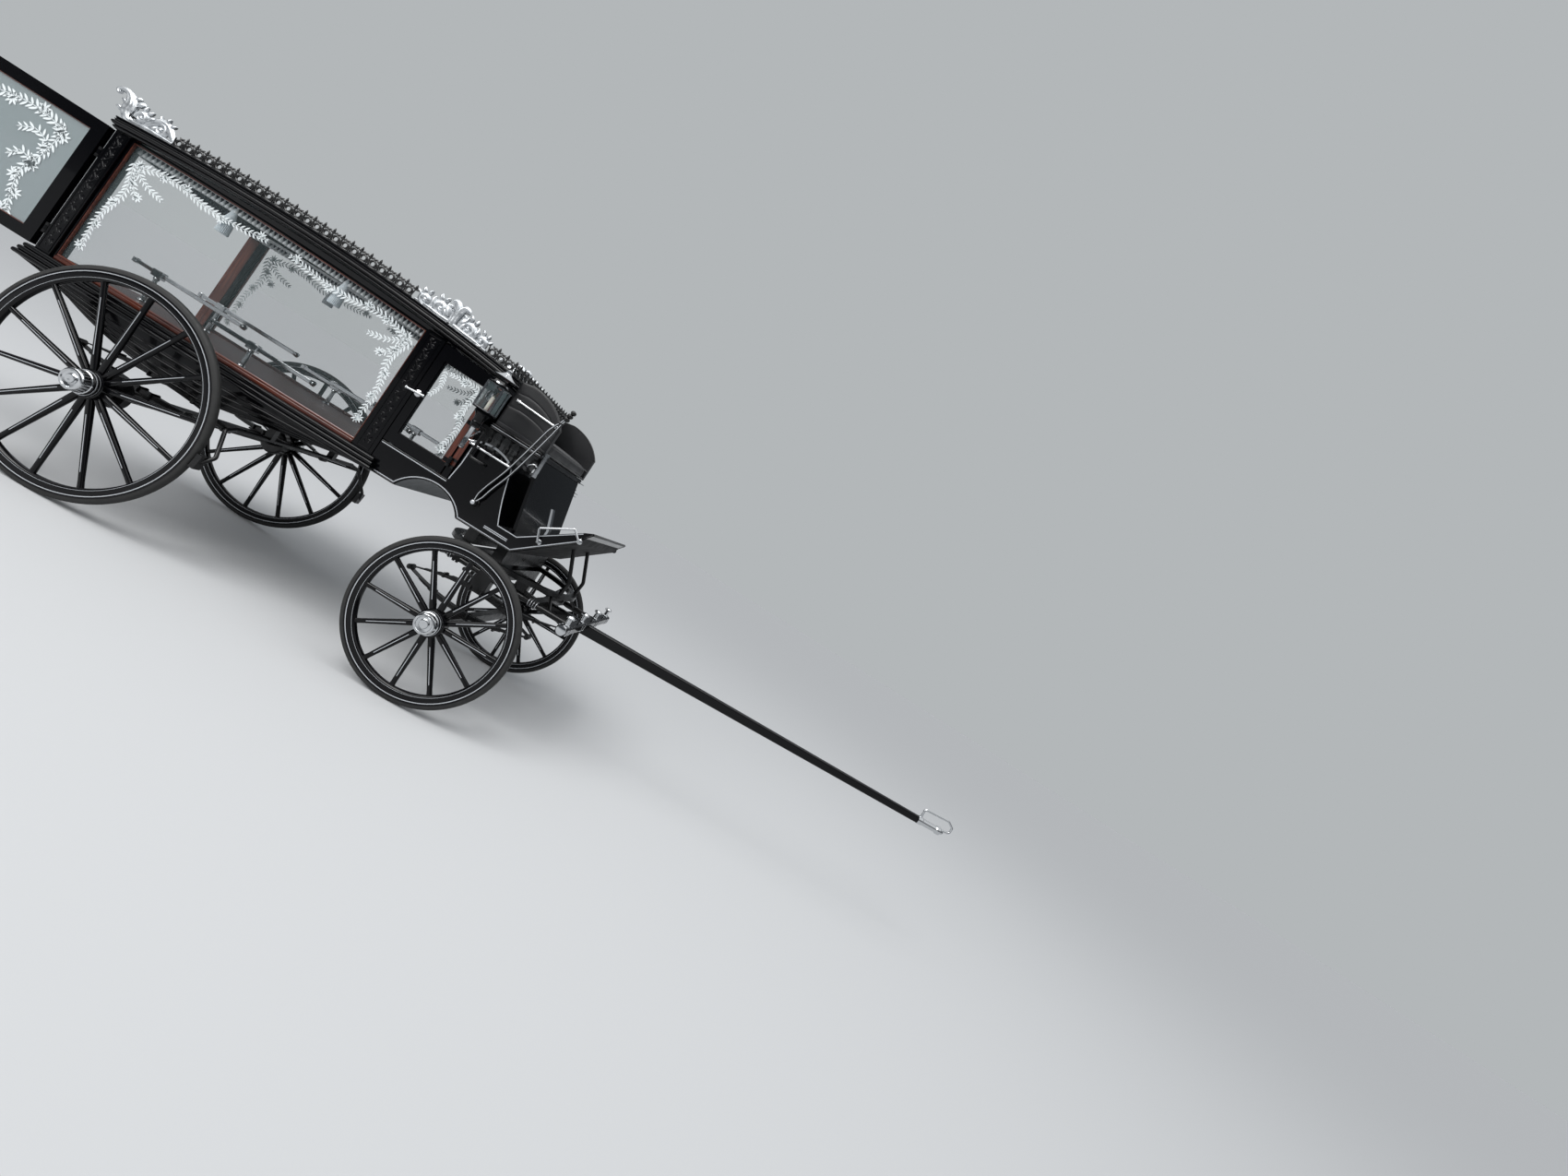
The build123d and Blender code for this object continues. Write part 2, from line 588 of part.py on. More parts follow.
lamp_glass = block(along(lamp_x) - glass_half, along(lamp_x) + glass_half, -lamp_y - glass_half,
                   glass_half - lamp_y, lamp_bottom + 10, lamp_top - 12)
glass_wall = 4.0
lamp_void = glass_half - glass_wall
lamp_glass = lamp_glass - block(along(lamp_x) - lamp_void, along(lamp_x) + lamp_void, -lamp_y - lamp_void,
                                lamp_void - lamp_y, lamp_bottom + 9, lamp_top - 11)
keep("lamp_glasses", *pair(lamp_glass))
iron_r = 9.0
iron_y = -boot_half - 34
iron_top = lamp_bottom - 84
lamp_iron = rod([(along(lamp_x), -lamp_y, iron_top), (along(lamp_x), iron_y, iron_top),
                 (along(lamp_x), iron_y, 1405), (along(lamp_x + 92), iron_y, 1405),
                 (along(lamp_x + 92), -boot_half, 1405)], iron_r, 22)
keep("lamp_irons", *pair(lamp_iron - socket))

# Brake lever on the right of the box
lever_y = -boot_half - 24
lever = rod([(fore(-241), lever_y, 1184), (fore(-162), lever_y, 1440), (fore(-88), lever_y, 1790),
             (fore(-56), lever_y, 1900)], 9, 60)
boss = turned([(0, 26), (24, 26), (36, 18)], (fore(-241), -boot_half, 1184), (0, -1, 0), (1, 0, 0))
grip = turned([(0, 12), (14, 20), (28, 12), (42, 20), (56, 12), (70, 20), (84, 8)],
              (fore(-56), lever_y, 1888), (0.28, 0, 0.96), (0, 1, 0))
keep("brake_lever", lever.fuse(boss, grip))

# Brake gear: cross shaft under the belly, bent hangers and curved blocks before the rear tyres
shaft_x, shaft_z = along(600), belly_bottom + 2 - 18
block_gap = 9.0
brake_parts = [rod([(shaft_x, -560, shaft_z), (shaft_x, 560, shaft_z)], 13)]
for s in (-1, 1):
    brake_parts.append(block(shaft_x - 22, shaft_x + 22, s * 300 - 18, s * 300 + 18, shaft_z, 905) - belly)
    brake_parts.append(rod([(shaft_x, s * 556, shaft_z), (shaft_x + 14, s * 640, shaft_z - 20),
                            (shaft_x + 100, s * 700, 645), (shaft_x + 82, s * (track / 2), 590)], 11, 26))
    shoe = turned([(-24, rear_wheel_r + block_gap + 30), (24, rear_wheel_r + block_gap + 30)],
                  (along(0), s * track / 2, rear_wheel_r), (0, 1, 0), (1, 0, 0))
    shoe = shoe - turned([(-25, rear_wheel_r + block_gap), (25, rear_wheel_r + block_gap)],
                         (along(0), s * track / 2, rear_wheel_r), (0, 1, 0), (1, 0, 0))
    brake_parts.append(shoe & block(along(500), along(760), s * track / 2 - 25, s * track / 2 + 25, 548, 634))
keep("brake_gear", brake_parts[0].fuse(*brake_parts[1:]))

# Upper turntable: bearers under the box, iron ring, kingpin and front stays
fx = along(wheelbase)


def ring(z0, z1):
    """The flat turntable ring between two heights."""
    outer = upright((fx, 0, z0), ring_r + ring_w / 2, z1 - z0)
    return outer - upright((fx, 0, z0 - 1), ring_r - ring_w / 2, z1 - z0 + 2)


upper = ring(ring_z + face_gap, ring_z + ring_t)
bearers = [upper]
for x, half in ((fore(-242), 330.0), (fx, 430.0)):
    bearers.append(block(x - 36, x + 36, -half, half, ring_z + ring_t - 1, boot_bottom))
bearers.append(upright((fx, 0, ring_z - 96), kingpin_r, 130))
for s in (-1, 1):
    bearers.append(rod([(fx + ring_r - 30, s * 200, ring_z + ring_t - 2), (fx + ring_r - 20, s * 200, 1020),
                        (fore(308), s * 200, 1236)], 13, 50))
stay_cut = plate([(fore(86), boot_bottom), (fore(402), 1306), (fore(402), 1441), (fore(86), 1441)], -300, 300)
keep("body_bearers", bearers[0].fuse(*bearers[1:]) - stay_cut)

# Lower turntable and fore-carriage frame, which turn with the pole and the front axle
lower = ring(ring_z - ring_t, ring_z)
bolster_top = ring_z - ring_t + 1
bolster = block(fx - 45, fx + 45, -ring_r - 10, ring_r + 10, futchell_z + 10, bolster_top)
king_bore = upright((fx, 0, 700), kingpin_r + running_fit, 300)
spring_top = front_wheel_r + axle_half + 8 + front_spring_height
frame_parts = [lower, bolster]
futchell_rear = wheelbase - 362.0
futchell = [(0, 18), (20, 26), (40, 18), (60, 18), (75, 28), (90, 18), (320, futchell_r),
            (600, futchell_r), (640, 18), (655, 30), (670, 18), (690, 30), (705, 18), (730, 22),
            (splinter_x - futchell_rear, 20)]
for s in (-1, 1):
    frame_parts.append(turned(futchell, (along(futchell_rear), s * futchell_y, futchell_z), (1, 0, 0),
                              (0, 1, 0)))
    frame_parts.append(block(fx - 50, fx + 50, s * front_spring_y - 32, s * front_spring_y + 32, spring_top,
                             futchell_z + 12))
    frame_parts.append(rod([(fx + ring_r * 0.83, s * ring_r * 0.5, ring_z - ring_t),
                            (fore(428), s * futchell_y, futchell_z)], 11))
frame_parts.append(block(fore(-256), fore(-216), -futchell_y - 20, futchell_y + 20, futchell_z - 16,
                         bolster_top))
frame_parts.append(block(fore(278), fore(338), -futchell_y, futchell_y, futchell_z - 22, futchell_z + 22))
fore_frame = frame_parts[0].fuse(*frame_parts[1:]) - king_bore

# Pole, its chrome head, and the splinter bar with four roller bolts
pole_frame = Vector(pole_tip_x - pole_root_x, 0, pole_tip_z - pole_root_z)
root_plane = Plane(origin=(along(pole_root_x), 0, pole_root_z), x_dir=(0, 1, 0), z_dir=pole_frame)
tip_plane = Plane(origin=(along(pole_tip_x), 0, pole_tip_z), x_dir=(0, 1, 0), z_dir=pole_frame)
pole = loft([root_plane * RectangleRounded(pole_w, pole_h, 12), tip_plane * RectangleRounded(44, 52, 12)])
splinter = plate([(along(splinter_x) - 34, splinter_z - 28), (along(splinter_x) + 34, splinter_z - 28),
                  (along(splinter_x) + 34, splinter_z + 24), (along(splinter_x) - 34, splinter_z + 24)],
                 -splinter_half, splinter_half)
splinter = fillet(splinter.edges().filter_by(Axis.Y), 12)
keep("fore_frame", fore_frame - pole - splinter)
front_seat_z = front_wheel_r + axle_half + 8
front_spring = elliptic_spring(fx, -front_spring_y, front_seat_z, spring_top, front_spring_half)
keep("front_springs", *pair(front_spring))
keep("front_axle", axle(fx, front_wheel_r, front_spring_y))
keep("splinter_bar", splinter - pole)
bolts = []
for y in roller_y:
    bolts += pair(turned([(0, 22), (6, 22), (10, 15), (44, 15), (50, 27), (58, 27), (66, 20), (70, 8)],
                         (along(splinter_x), -y, splinter_z + 24), (0, 0, 1), (1, 0, 0)))
keep("roller_bolts", *bolts)
keep("pole", pole)
head_r = 30.0
head = turned([(0, head_r), (34, head_r), (40, 26), (150, 24), (160, 30), (186, 30), (196, 22), (214, 12)],
              (along(pole_tip_x), 0, pole_tip_z), tuple(pole_frame.normalized()), (0, 1, 0))
hook_r = 9.0
loop = rod([(along(pole_tip_x + 16), 0, 896), (along(pole_tip_x + 16), 0, 962),
            (along(pole_tip_x + 214), 0, 976), (along(ahead) - hook_r, 0, 944),
            (along(ahead) - hook_r, 0, 902), (along(pole_tip_x + 190), 0, 890)], hook_r, 18)
keep("pole_head", head.fuse(loop))


# Doors
def door_panel(x0, x1, z0, z1, y0, y1, stile, rail):
    """A framed door leaf in an X-Z plane, and the pane that fills its opening. stile is (rear, front)."""
    leaf = block(x0, x1, y0, y1, z0, z1)
    hole = block(x0 + stile[0], x1 - stile[1], y0 - 1, y1 + 1, z0 + rail[0], z1 - rail[1])
    middle = (y0 + y1) / 2
    pane = block(x0 + stile[0], x1 - stile[1], middle - glass_t / 2, middle + glass_t / 2, z0 + rail[0],
                 z1 - rail[1])
    return leaf - hole, pane


def strap_hinge(pin, z, leaf_x, leaf_y, height=26.0):
    """The moving part of a hinge: an eye round the pin and a strap to the leaf."""
    eye_out = pin_r + 5
    strap_box = block(min(pin[0], leaf_x), max(pin[0], leaf_x), leaf_y[0], leaf_y[1], z, z + height)
    eye = upright((*pin, z), eye_out, height)
    bore = upright((*pin, z - 1), pin_r + running_fit, height + 2)
    return eye.fuse(strap_box) - bore


def fixed_hinge(pin, z, plate_box, height=26.0):
    """The fixed part: a pin with a lug above and below the eye, on a plate."""
    shaft = upright((*pin, z - 18), pin_r, height + 36)
    lugs = []
    for low in (z - 18, z + height + 1):
        lugs.append(upright((*pin, low), pin_r + 5, 17))
        lugs.append(block(plate_box[0], plate_box[1], plate_box[2], plate_box[3], low, low + 17))
    return shaft.fuse(*lugs)


side_pin_y = side_y + 14.0
hinge_heights = (1300.0, 1560.0, 1790.0)
quarter_frame, quarter_pane = door_panel(along(quarter_rear), along(quarter_front), quarter_bottom,
                                         frame_high, -side_y, quarter_t - side_y, quarter_stiles,
                                         quarter_rails)
quarter_frame = quarter_frame & below_roof(quarter_gap)
quarter_pin = (along(quarter_front + quarter_pin_gap), -side_pin_y)
straps = [strap_hinge(quarter_pin, z, along(quarter_front - 30), (-side_y - 5, -side_y))
          for z in hinge_heights]
handle_z, handle_x = 1556.0, fore(-861)
handle = turned([(0, 20), (5, 20), (9, 8), (38, 8)], (handle_x, -side_y, handle_z), (0, -1, 0), (1, 0, 0))
grip_ends = [(handle_x - 52, -side_y - 38, handle_z - 4), (handle_x + 52, -side_y - 38, handle_z + 4)]
handle = handle.fuse(rod(grip_ends, 7))
jamb_x = along(bulkhead_x + bulkhead_t)
fixed = [fixed_hinge(quarter_pin, z, (quarter_pin[0], jamb_x, -side_y - 6, -side_y)) for z in hinge_heights]
for side_name, solids in (("right", 0), ("left", 1)):
    keep(f"quarter_door_{side_name}", pair(quarter_frame.fuse(*straps))[solids])
    keep(f"quarter_glass_{side_name}", pair(quarter_pane)[solids])
    keep(f"quarter_handle_{side_name}", pair(handle)[solids])

door_pin = (along(-door_pivot_back), -545.0)
door_x = (along(-behind), along(-door_pivot_back - door_edge_gap))
door_y = (door_pin[1] - door_t / 2, door_pin[1] + door_t / 2)
rear_frame, rear_pane = door_panel(door_x[0], door_x[1], door_bottom, door_top, door_y[0], door_y[1],
                                   (door_stile, door_stile), (door_rail, door_rail))
rear_hinge_z = (1210.0, 1735.0)
rear_straps = [strap_hinge(door_pin, z, door_x[1] - 2, (door_pin[1] - 4, door_pin[1] + 4))
               for z in rear_hinge_z]
keep("rear_door", rear_frame.fuse(*rear_straps))
keep("rear_door_glass", rear_pane)
rear_fixed = [fixed_hinge(door_pin, z, (door_pin[0], along(-post_rear), door_pin[1] - 6, door_pin[1] + 6))
              for z in rear_hinge_z]
keep("door_hinges", *[piece for solid in fixed for piece in pair(solid)], *rear_fixed)

os.makedirs("parts", exist_ok=True)
for name, solids in nodes.items():
    flat = []
    for solid in solids:
        flat += solid.solids()
    export_step(flat[0] if len(flat) == 1 else Compound(children=flat), f"parts/{name}.step")
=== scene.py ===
from math import cos, pi, radians, sin

import bpy
import numpy as np
from mathutils import Matrix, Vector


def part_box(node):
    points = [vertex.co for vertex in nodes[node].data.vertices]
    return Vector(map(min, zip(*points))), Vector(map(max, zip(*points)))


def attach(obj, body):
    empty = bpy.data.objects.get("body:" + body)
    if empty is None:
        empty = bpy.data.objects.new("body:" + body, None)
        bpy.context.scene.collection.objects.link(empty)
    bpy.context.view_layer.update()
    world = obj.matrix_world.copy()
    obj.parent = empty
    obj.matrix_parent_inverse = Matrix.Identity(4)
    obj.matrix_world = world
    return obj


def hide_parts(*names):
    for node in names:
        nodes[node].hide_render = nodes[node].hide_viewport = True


# Looks of a horse-drawn glass hearse. Metres, +X forward, +Y left, +Z up, as in the frame.
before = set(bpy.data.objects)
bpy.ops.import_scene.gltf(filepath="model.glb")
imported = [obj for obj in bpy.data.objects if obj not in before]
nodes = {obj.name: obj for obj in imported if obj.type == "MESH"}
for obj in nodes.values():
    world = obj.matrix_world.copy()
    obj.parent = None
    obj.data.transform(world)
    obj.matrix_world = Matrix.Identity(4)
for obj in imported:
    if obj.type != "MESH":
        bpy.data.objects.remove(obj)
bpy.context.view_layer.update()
rng = np.random.default_rng(7)
X, Y, Z = np.eye(3)


# Shapes: a shape is (points, [face arrays]), worked out with whole arrays
def rows(*columns):
    """Columns, broadcast against each other, as the rows of an array: most often x, y and z as points."""
    return np.stack(np.broadcast_arrays(*columns), -1)


def merge(*shapes):
    """Several shapes as one: points are stacked and each face array is shifted by the points before it."""
    points, faces, count = [], [], 0
    for p, fs in shapes:
        points.append(p)
        faces += [f + count for f in fs]
        count += len(p)
    return np.concatenate(points), faces


def grid(surface, wrap_u=False, wrap_v=False, ends=False):
    """A (u, v, 3) array of points as quads between neighbours; wrap joins the last row or column to the first.
    ends closes the first and last u rows with a fan round their centre."""
    nu, nv = surface.shape[:2]
    iu = np.arange(nu if wrap_u else nu - 1)
    iv = np.arange(nv if wrap_v else nv - 1)
    a, b = np.meshgrid(iu, iv, indexing="ij")
    a2, b2 = (a + 1) % nu, (b + 1) % nv
    quads = rows(a * nv + b, a2 * nv + b, a2 * nv + b2, a * nv + b2).reshape(-1, 4)
    points, faces = surface.reshape(-1, 3), [quads]
    if ends:
        j = np.arange(nv if wrap_v else nv - 1)
        k = (j + 1) % nv
        hub = len(points)
        points = np.concatenate([points, surface[:1].mean(1), surface[-1:].mean(1)])
        last = (nu - 1) * nv
        faces += [rows(j, k, hub), rows(last + k, last + j, hub + 1)]
    return points, faces


def outward(shape):
    """A closed shape with its faces turned out: the sum of the tetrahedra over its faces is made positive."""
    points, faces = shape
    p = points - points.mean(0)
    volume = sum(np.sum(p[f[:, 0]] * np.cross(p[f[:, k]], p[f[:, k + 1]]))
                 for f in faces for k in range(1, f.shape[1] - 1))
    return (points, [f[:, ::-1] for f in faces]) if volume < 0 else shape


def skin(rings):
    """A closed surface through rings of points, one after the other, with the first and last filled in."""
    return outward(grid(np.asarray(rings, float), wrap_v=True, ends=True))


def repeat(shape, moves):
    """Copies of a shape, one for each 3 x 4 matrix in moves."""
    points, faces = shape
    moves = np.asarray(moves, float)
    placed = np.einsum("kij,nj->kni", moves[:, :, :3], points) + moves[:, None, :, 3]
    shift = (np.arange(len(moves)) * len(points))[:, None, None]
    return placed.reshape(-1, 3), [(f[None] + shift).reshape(-1, f.shape[1]) for f in faces]


def moved(shape, by):
    """A shape moved along a vector."""
    return shape[0] + np.asarray(by, float), shape[1]


def copies(shape, places):
    """Copies of a shape, moved to several places."""
    return merge(*[moved(shape, place) for place in places])


def flipped(shape, axis=1):
    """A shape mirrored in one coordinate, with its faces turned so that they still point outwards."""
    points = shape[0].copy()
    points[:, axis] *= -1
    return points, [f[:, ::-1] for f in shape[1]]


def both(shape):
    """A shape on the right with its mirror image on the left."""
    return merge(shape, flipped(shape))


def lathe(stations, origin, direction, count=48):
    """Stations (distance, radius) turned round the line from origin along direction, closed at both ends."""
    d = np.asarray(direction, float)
    d = d / np.linalg.norm(d)
    side = np.cross(d, Z if abs(d[2]) < 0.9 else Y)
    side /= np.linalg.norm(side)
    t = np.linspace(0, 2 * pi, count, endpoint=False)
    s = np.asarray(stations, float)
    ring = np.cos(t)[:, None] * side + np.sin(t)[:, None] * np.cross(d, side)
    return skin(np.asarray(origin, float) + s[:, None, :1] * d + s[:, None, 1:] * ring)


def hoop(loop, origin, direction, count=72):
    """A closed loop of (distance, radius) turned round the line from origin along direction."""
    shape = lathe(loop, origin, direction, count)
    surface = shape[0][:len(loop) * count].reshape(len(loop), count, 3)
    return outward(grid(surface, wrap_u=True, wrap_v=True))


def oblong(half_width, half_height, x=0.0, y=0.0):
    """The four corners of a rectangle about a middle."""
    return np.array([(x - half_width, y - half_height), (x + half_width, y - half_height),
                     (x + half_width, y + half_height), (x - half_width, y + half_height)])


def ring_band(origin, direction, start, radius, width, depth, count=28):
    """A flat ring about a line: width along it from start, and depth outwards from radius."""
    return hoop(oblong(width / 2, depth / 2, start + width / 2, radius + depth / 2), origin, direction, count)


def frames(path, closed=False, up=Z):
    """Directions along a path, with two cross directions worked out from a fixed up direction."""
    along = np.roll(path, -1, 0) - np.roll(path, 1, 0) if closed else np.gradient(path, axis=0)
    along /= np.linalg.norm(along, axis=1, keepdims=True)
    side = np.cross(along, up)
    side /= np.maximum(np.linalg.norm(side, axis=1, keepdims=True), 1e-9)
    return along, side, np.cross(side, along)


def carry(path, section, scale=1.0, closed=False, up=Z):
    """A closed section (side, up) carried along a path, times a scale that may change along it."""
    path = np.asarray(path, float)
    _, side, lift = frames(path, closed, up)
    size = np.broadcast_to(np.asarray(scale, float), (len(path),))[:, None, None]
    across, upwards = np.asarray(section, float).T[:, :, None]
    surface = path[:, None] + size * (across * side[:, None] + upwards * lift[:, None])
    return outward(grid(surface, wrap_u=closed, wrap_v=True, ends=not closed))


def ring_section(radius, count=12, squash=1.0):
    """Points of a circle or ellipse."""
    t = np.linspace(0, 2 * pi, count, endpoint=False)
    return rows(radius * np.cos(t), radius * squash * np.sin(t))


def tube(path, radius, count=12, scale=1.0, closed=False, up=Z):
    """A round bar along a path."""
    return carry(path, ring_section(radius, count), scale, closed, up)


def smooth_path(corners, count=60):
    """A Catmull-Rom curve through the corners: each span blends its four nearest corners by cubics in t."""
    p = np.asarray(corners, float)
    p = np.concatenate([2 * p[:1] - p[1:2], p, 2 * p[-1:] - p[-2:-1]])
    t = np.linspace(0, len(p) - 3 - 1e-9, count)
    i = t.astype(int)
    f = (t - i)[:, None]
    a, b, c, d = p[i], p[i + 1], p[i + 2], p[i + 3]
    return 0.5 * (2 * b + (c - a) * f + (2 * a - 5 * b + 4 * c - d) * f ** 2 + (3 * b - 3 * c + d - a) * f ** 3)


def slab(low, high, edge=0.002):
    """A box between two corners with its edges cut back: an eight-cornered outline at four places along Y,
    drawn in by edge at both ends."""
    (x0, y0, z0), (x1, y1, z1) = low, high
    rings = []
    for y, inset in ((y0, edge), (y0 + edge, 0.0), (y1 - edge, 0.0), (y1, edge)):
        a, b, c, d = x0 + inset, x1 - inset, z0 + inset, z1 - inset
        flat = [(a + edge, c), (b - edge, c), (b, c + edge), (b, d - edge), (b - edge, d), (a + edge, d),
                (a, d - edge), (a, c + edge)]
        rings.append([(x, y, z) for x, z in flat])
    return skin(rings)


def block(middle, half, edge=0.002):
    """A slab about its middle."""
    return slab(np.subtract(middle, half), np.add(middle, half), edge)


def sheet_of(outline, y0, y1):
    """A flat plate: a closed (x, z) outline between two places along Y."""
    x, z = np.asarray(outline, float).T
    i, n = np.arange(len(x)), len(x)
    j = (i + 1) % n
    return outward((np.concatenate([rows(x, y0, z), rows(x, y1, z)]),
                    [i[None], (n + i[::-1])[None], rows(i, n + i, n + j, j)]))


def matrix(right, up, out, at):
    """3 x 4 moves whose columns are three directions and a place, broadcast against each other."""
    return rows(right, up, out, at)


def piece(name, shape, material, body="body", replaces=(), angle=35):
    """A Blender mesh object from a shape: smooth, with edges over angle kept sharp, riding on a body."""
    points, faces = shape
    mesh = bpy.data.meshes.new(name)
    sizes = np.concatenate([np.full(len(f), f.shape[1]) for f in faces])
    corners = np.concatenate([f.ravel() for f in faces])
    mesh.vertices.add(len(points))
    mesh.vertices.foreach_set("co", np.ascontiguousarray(points, np.float32).ravel())
    mesh.loops.add(len(corners))
    mesh.loops.foreach_set("vertex_index", corners.astype(np.int32))
    mesh.polygons.add(len(sizes))
    mesh.polygons.foreach_set("loop_start", (np.cumsum(sizes) - sizes).astype(np.int32))
    mesh.update(calc_edges=True)
    mesh.validate()
    mesh.polygons.foreach_set("use_smooth", np.ones(len(mesh.polygons), bool))
    mesh.set_sharp_from_angle(angle=radians(angle))
    mesh.materials.append(material)
    obj = bpy.data.objects.new(name, mesh)
    bpy.context.scene.collection.objects.link(obj)
    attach(obj, body)
    if replaces:
        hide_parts(*replaces)
    return obj


# Materials
def linear(colour):
    """An sRGB hex colour as linear RGBA."""
    c = np.array([int(colour[i:i + 2], 16) for i in (1, 3, 5)]) / 255
    return (*np.where(c <= 0.04045, c / 12.92, ((c + 0.055) / 1.055) ** 2.4), 1.0)


def add(tree, kind, values=None, links=None, **settings):
    """One shader node: settings are properties, values its sockets, links its inputs from other sockets."""
    node = tree.nodes.new("ShaderNode" + kind)
    for key, value in settings.items():
        setattr(node, key, value)
    for key, value in (values or {}).items():
        node.inputs[key].default_value = value
    for key, source in (links or {}).items():
        tree.links.new(source, node.inputs[key])
    return node


def material(name, colour, roughness, **sockets):
    """A Principled material; sockets are more of its inputs by name, with _ for a space."""
    made = bpy.data.materials.new(name)
    made.use_nodes = True
    shader = made.node_tree.nodes["Principled BSDF"]
    shader.inputs["Base Color"].default_value = linear(colour)
    shader.inputs["Roughness"].default_value = roughness
    for key, value in sockets.items():
        shader.inputs[key.replace("_", " ")].default_value = value
    return made


def vary(made, scale_mm, colours=None, rough=None, bump=None, stretch=(1, 1, 1), kind="TexNoise", detail=3.0):
    """The same material with a pattern of that real size on Object coordinates: between two colours or two
    roughnesses, or as a bump of that depth in millimetres."""
    tree = made.node_tree
    shader = tree.nodes["Principled BSDF"]
    place = add(tree, "TexCoord")
    fit = add(tree, "Mapping", {"Scale": tuple(1000 / scale_mm * s for s in stretch)},
              {"Vector": place.outputs["Object"]})
    settings = {"Scale": 1.0, "Detail": detail} if kind == "TexNoise" else {"Scale": 1.0}
    noise = add(tree, kind, settings, {"Vector": fit.outputs["Vector"]})
    out = noise.outputs[0]
    if colours:
        ramp = add(tree, "ValToRGB", None, {"Fac": out})
        for stop, place_on_ramp, colour in zip(ramp.color_ramp.elements, (0.32, 0.68), colours):
            stop.position, stop.color = place_on_ramp, linear(colour)
        tree.links.new(ramp.outputs["Color"], shader.inputs["Base Color"])
    if rough:
        limits = {"From Min": 0.3, "From Max": 0.7, "To Min": rough[0], "To Max": rough[1]}
        dulled = add(tree, "MapRange", limits, {"Value": out})
        tree.links.new(dulled.outputs["Result"], shader.inputs["Roughness"])
    if bump:
        relief = add(tree, "Bump", {"Strength": 1.0, "Distance": bump / 1000}, {"Height": out})
        if shader.inputs["Normal"].is_linked:
            tree.links.new(shader.inputs["Normal"].links[0].from_socket, relief.inputs["Normal"])
        tree.links.new(relief.outputs["Normal"], shader.inputs["Normal"])
    return made


# Coach enamel, flatted and varnished over timber: deep black with a clear coat, faint dust in places
enamel = vary(material("coach_enamel", "#040406", 0.14, Coat_Weight=0.2, Coat_Roughness=0.03,
                       Specular_IOR_Level=0.16), 420, rough=(0.10, 0.24))
# Black painted iron, brushed on by hand: a little duller, with brush ripples
iron = vary(material("painted_iron", "#09090a", 0.3, Coat_Weight=0.15, Coat_Roughness=0.15,
                     Specular_IOR_Level=0.35), 45, rough=(0.24, 0.42), bump=0.12)
# Flat chassis black on the underside of the box, never polished
chassis = vary(material("chassis_black", "#0a0a0b", 0.75), 70, rough=(0.65, 0.85))
# Black cast iron of the cresting: glossy high points, dull foundry skin
cast = vary(material("cast_iron_black", "#09090a", 0.28, Coat_Weight=0.35, Coat_Roughness=0.1), 9,
            rough=(0.2, 0.4), bump=0.1)
# Nickel plate, buffed: a warm grey mirror with faint polishing haze
nickel = vary(material("nickel_plate", "#c6c8ca", 0.1, Metallic=1.0), 60, rough=(0.07, 0.16))
# Solid rubber, moulded and road worn: grey-black, dull, dusted where it meets the road
rubber = vary(material("solid_rubber", "#191919", 0.7), 28, ("#141414", "#262625"), (0.6, 0.8), 0.35)
# Silvered carving: metal leaf on carved lime, brighter and greyer in random patches
silver = vary(material("silvered_carving", "#c2c5c8", 0.32, Metallic=0.8), 30, ("#a4a8ac", "#dcdfe1"),
              (0.24, 0.42), 0.25)
# A hand-drawn silver line in enamel; on the wheels it also serves as painted highlight on spokes and felloes
line = material("silver_line", "#c9ccd0", 0.35, Metallic=0.6)
# Red mahogany under varnish: red-brown, long dark grain along the rails, or up the standing boards
mahogany, mahogany_upright = (
    vary(material(name, "#4a1d12", 0.3, Coat_Weight=0.3, Coat_Roughness=0.08), 14, ("#381008", "#66301d"),
         stretch=stretch, detail=5.0)
    for name, stretch in (("varnished_mahogany", (0.06, 1, 1)), ("mahogany_upright", (1, 1, 0.06))))
# Black hide, dressed and grained: fine pebbles, soft sheen on the crowns
leather = material("black_hide", "#0d0e11", 0.42, Sheen_Weight=0.1, Specular_IOR_Level=0.4)
vary(vary(leather, 2.6, bump=0.3, kind="TexVoronoi"), 130, rough=(0.34, 0.52))
# Silk velvet of the hangings: near black purple with a soft edge sheen
velvet = vary(material("silk_velvet", "#1b0f28", 0.85, Sheen_Weight=0.6, Sheen_Roughness=0.4), 3,
              ("#150b20", "#241533"), bump=0.3)
# Silver-grey silk of the fringe: twisted threads, matt and bright against the dark velvet
fringe_silk = vary(material("fringe_silk", "#e6e9ea", 0.6, Sheen_Weight=0.3), 2.0, ("#d6dadc", "#f8fafb"),
                   stretch=(1, 1, 0.1), bump=0.4)
# Spun silk of the tassels: pale blue-grey, soft along its threads
silk = vary(material("spun_silk", "#dbe4e9", 0.6, Sheen_Weight=0.4), 2.6, ("#c6d3db", "#f4f9fb"),
            stretch=(1, 1, 0.08), bump=0.5)
# Acid-etched decoration: frosted white, which scatters light instead of passing it
frost = material("acid_etch", "#e9eff0", 0.8, Alpha=0.9)
# Dull grey lining of the wheel arch
lining = vary(material("arch_lining", "#6d7072", 0.55), 60, ("#5d6062", "#7d8082"), (0.45, 0.65))
# Stearin candle: off-white, faintly translucent
wax_material = material("candle_wax", "#efe9da", 0.45, Subsurface_Weight=0.2,
                        Subsurface_Radius=(0.01, 0.007, 0.004))


def clear_glass():
    """Polished plate glass as a thin pane: nearly clear face on, and a mirror at a glancing angle."""
    made = material("plate_glass", "#8e9c9e", 0.03)
    tree = made.node_tree
    edge = add(tree, "LayerWeight", {"Blend": 0.25})
    cover = add(tree, "MapRange", {"To Min": 0.035, "To Max": 0.7}, {"Value": edge.outputs["Fresnel"]})
    tree.links.new(cover.outputs["Result"], tree.nodes["Principled BSDF"].inputs["Alpha"])
    return made


glass = clear_glass()


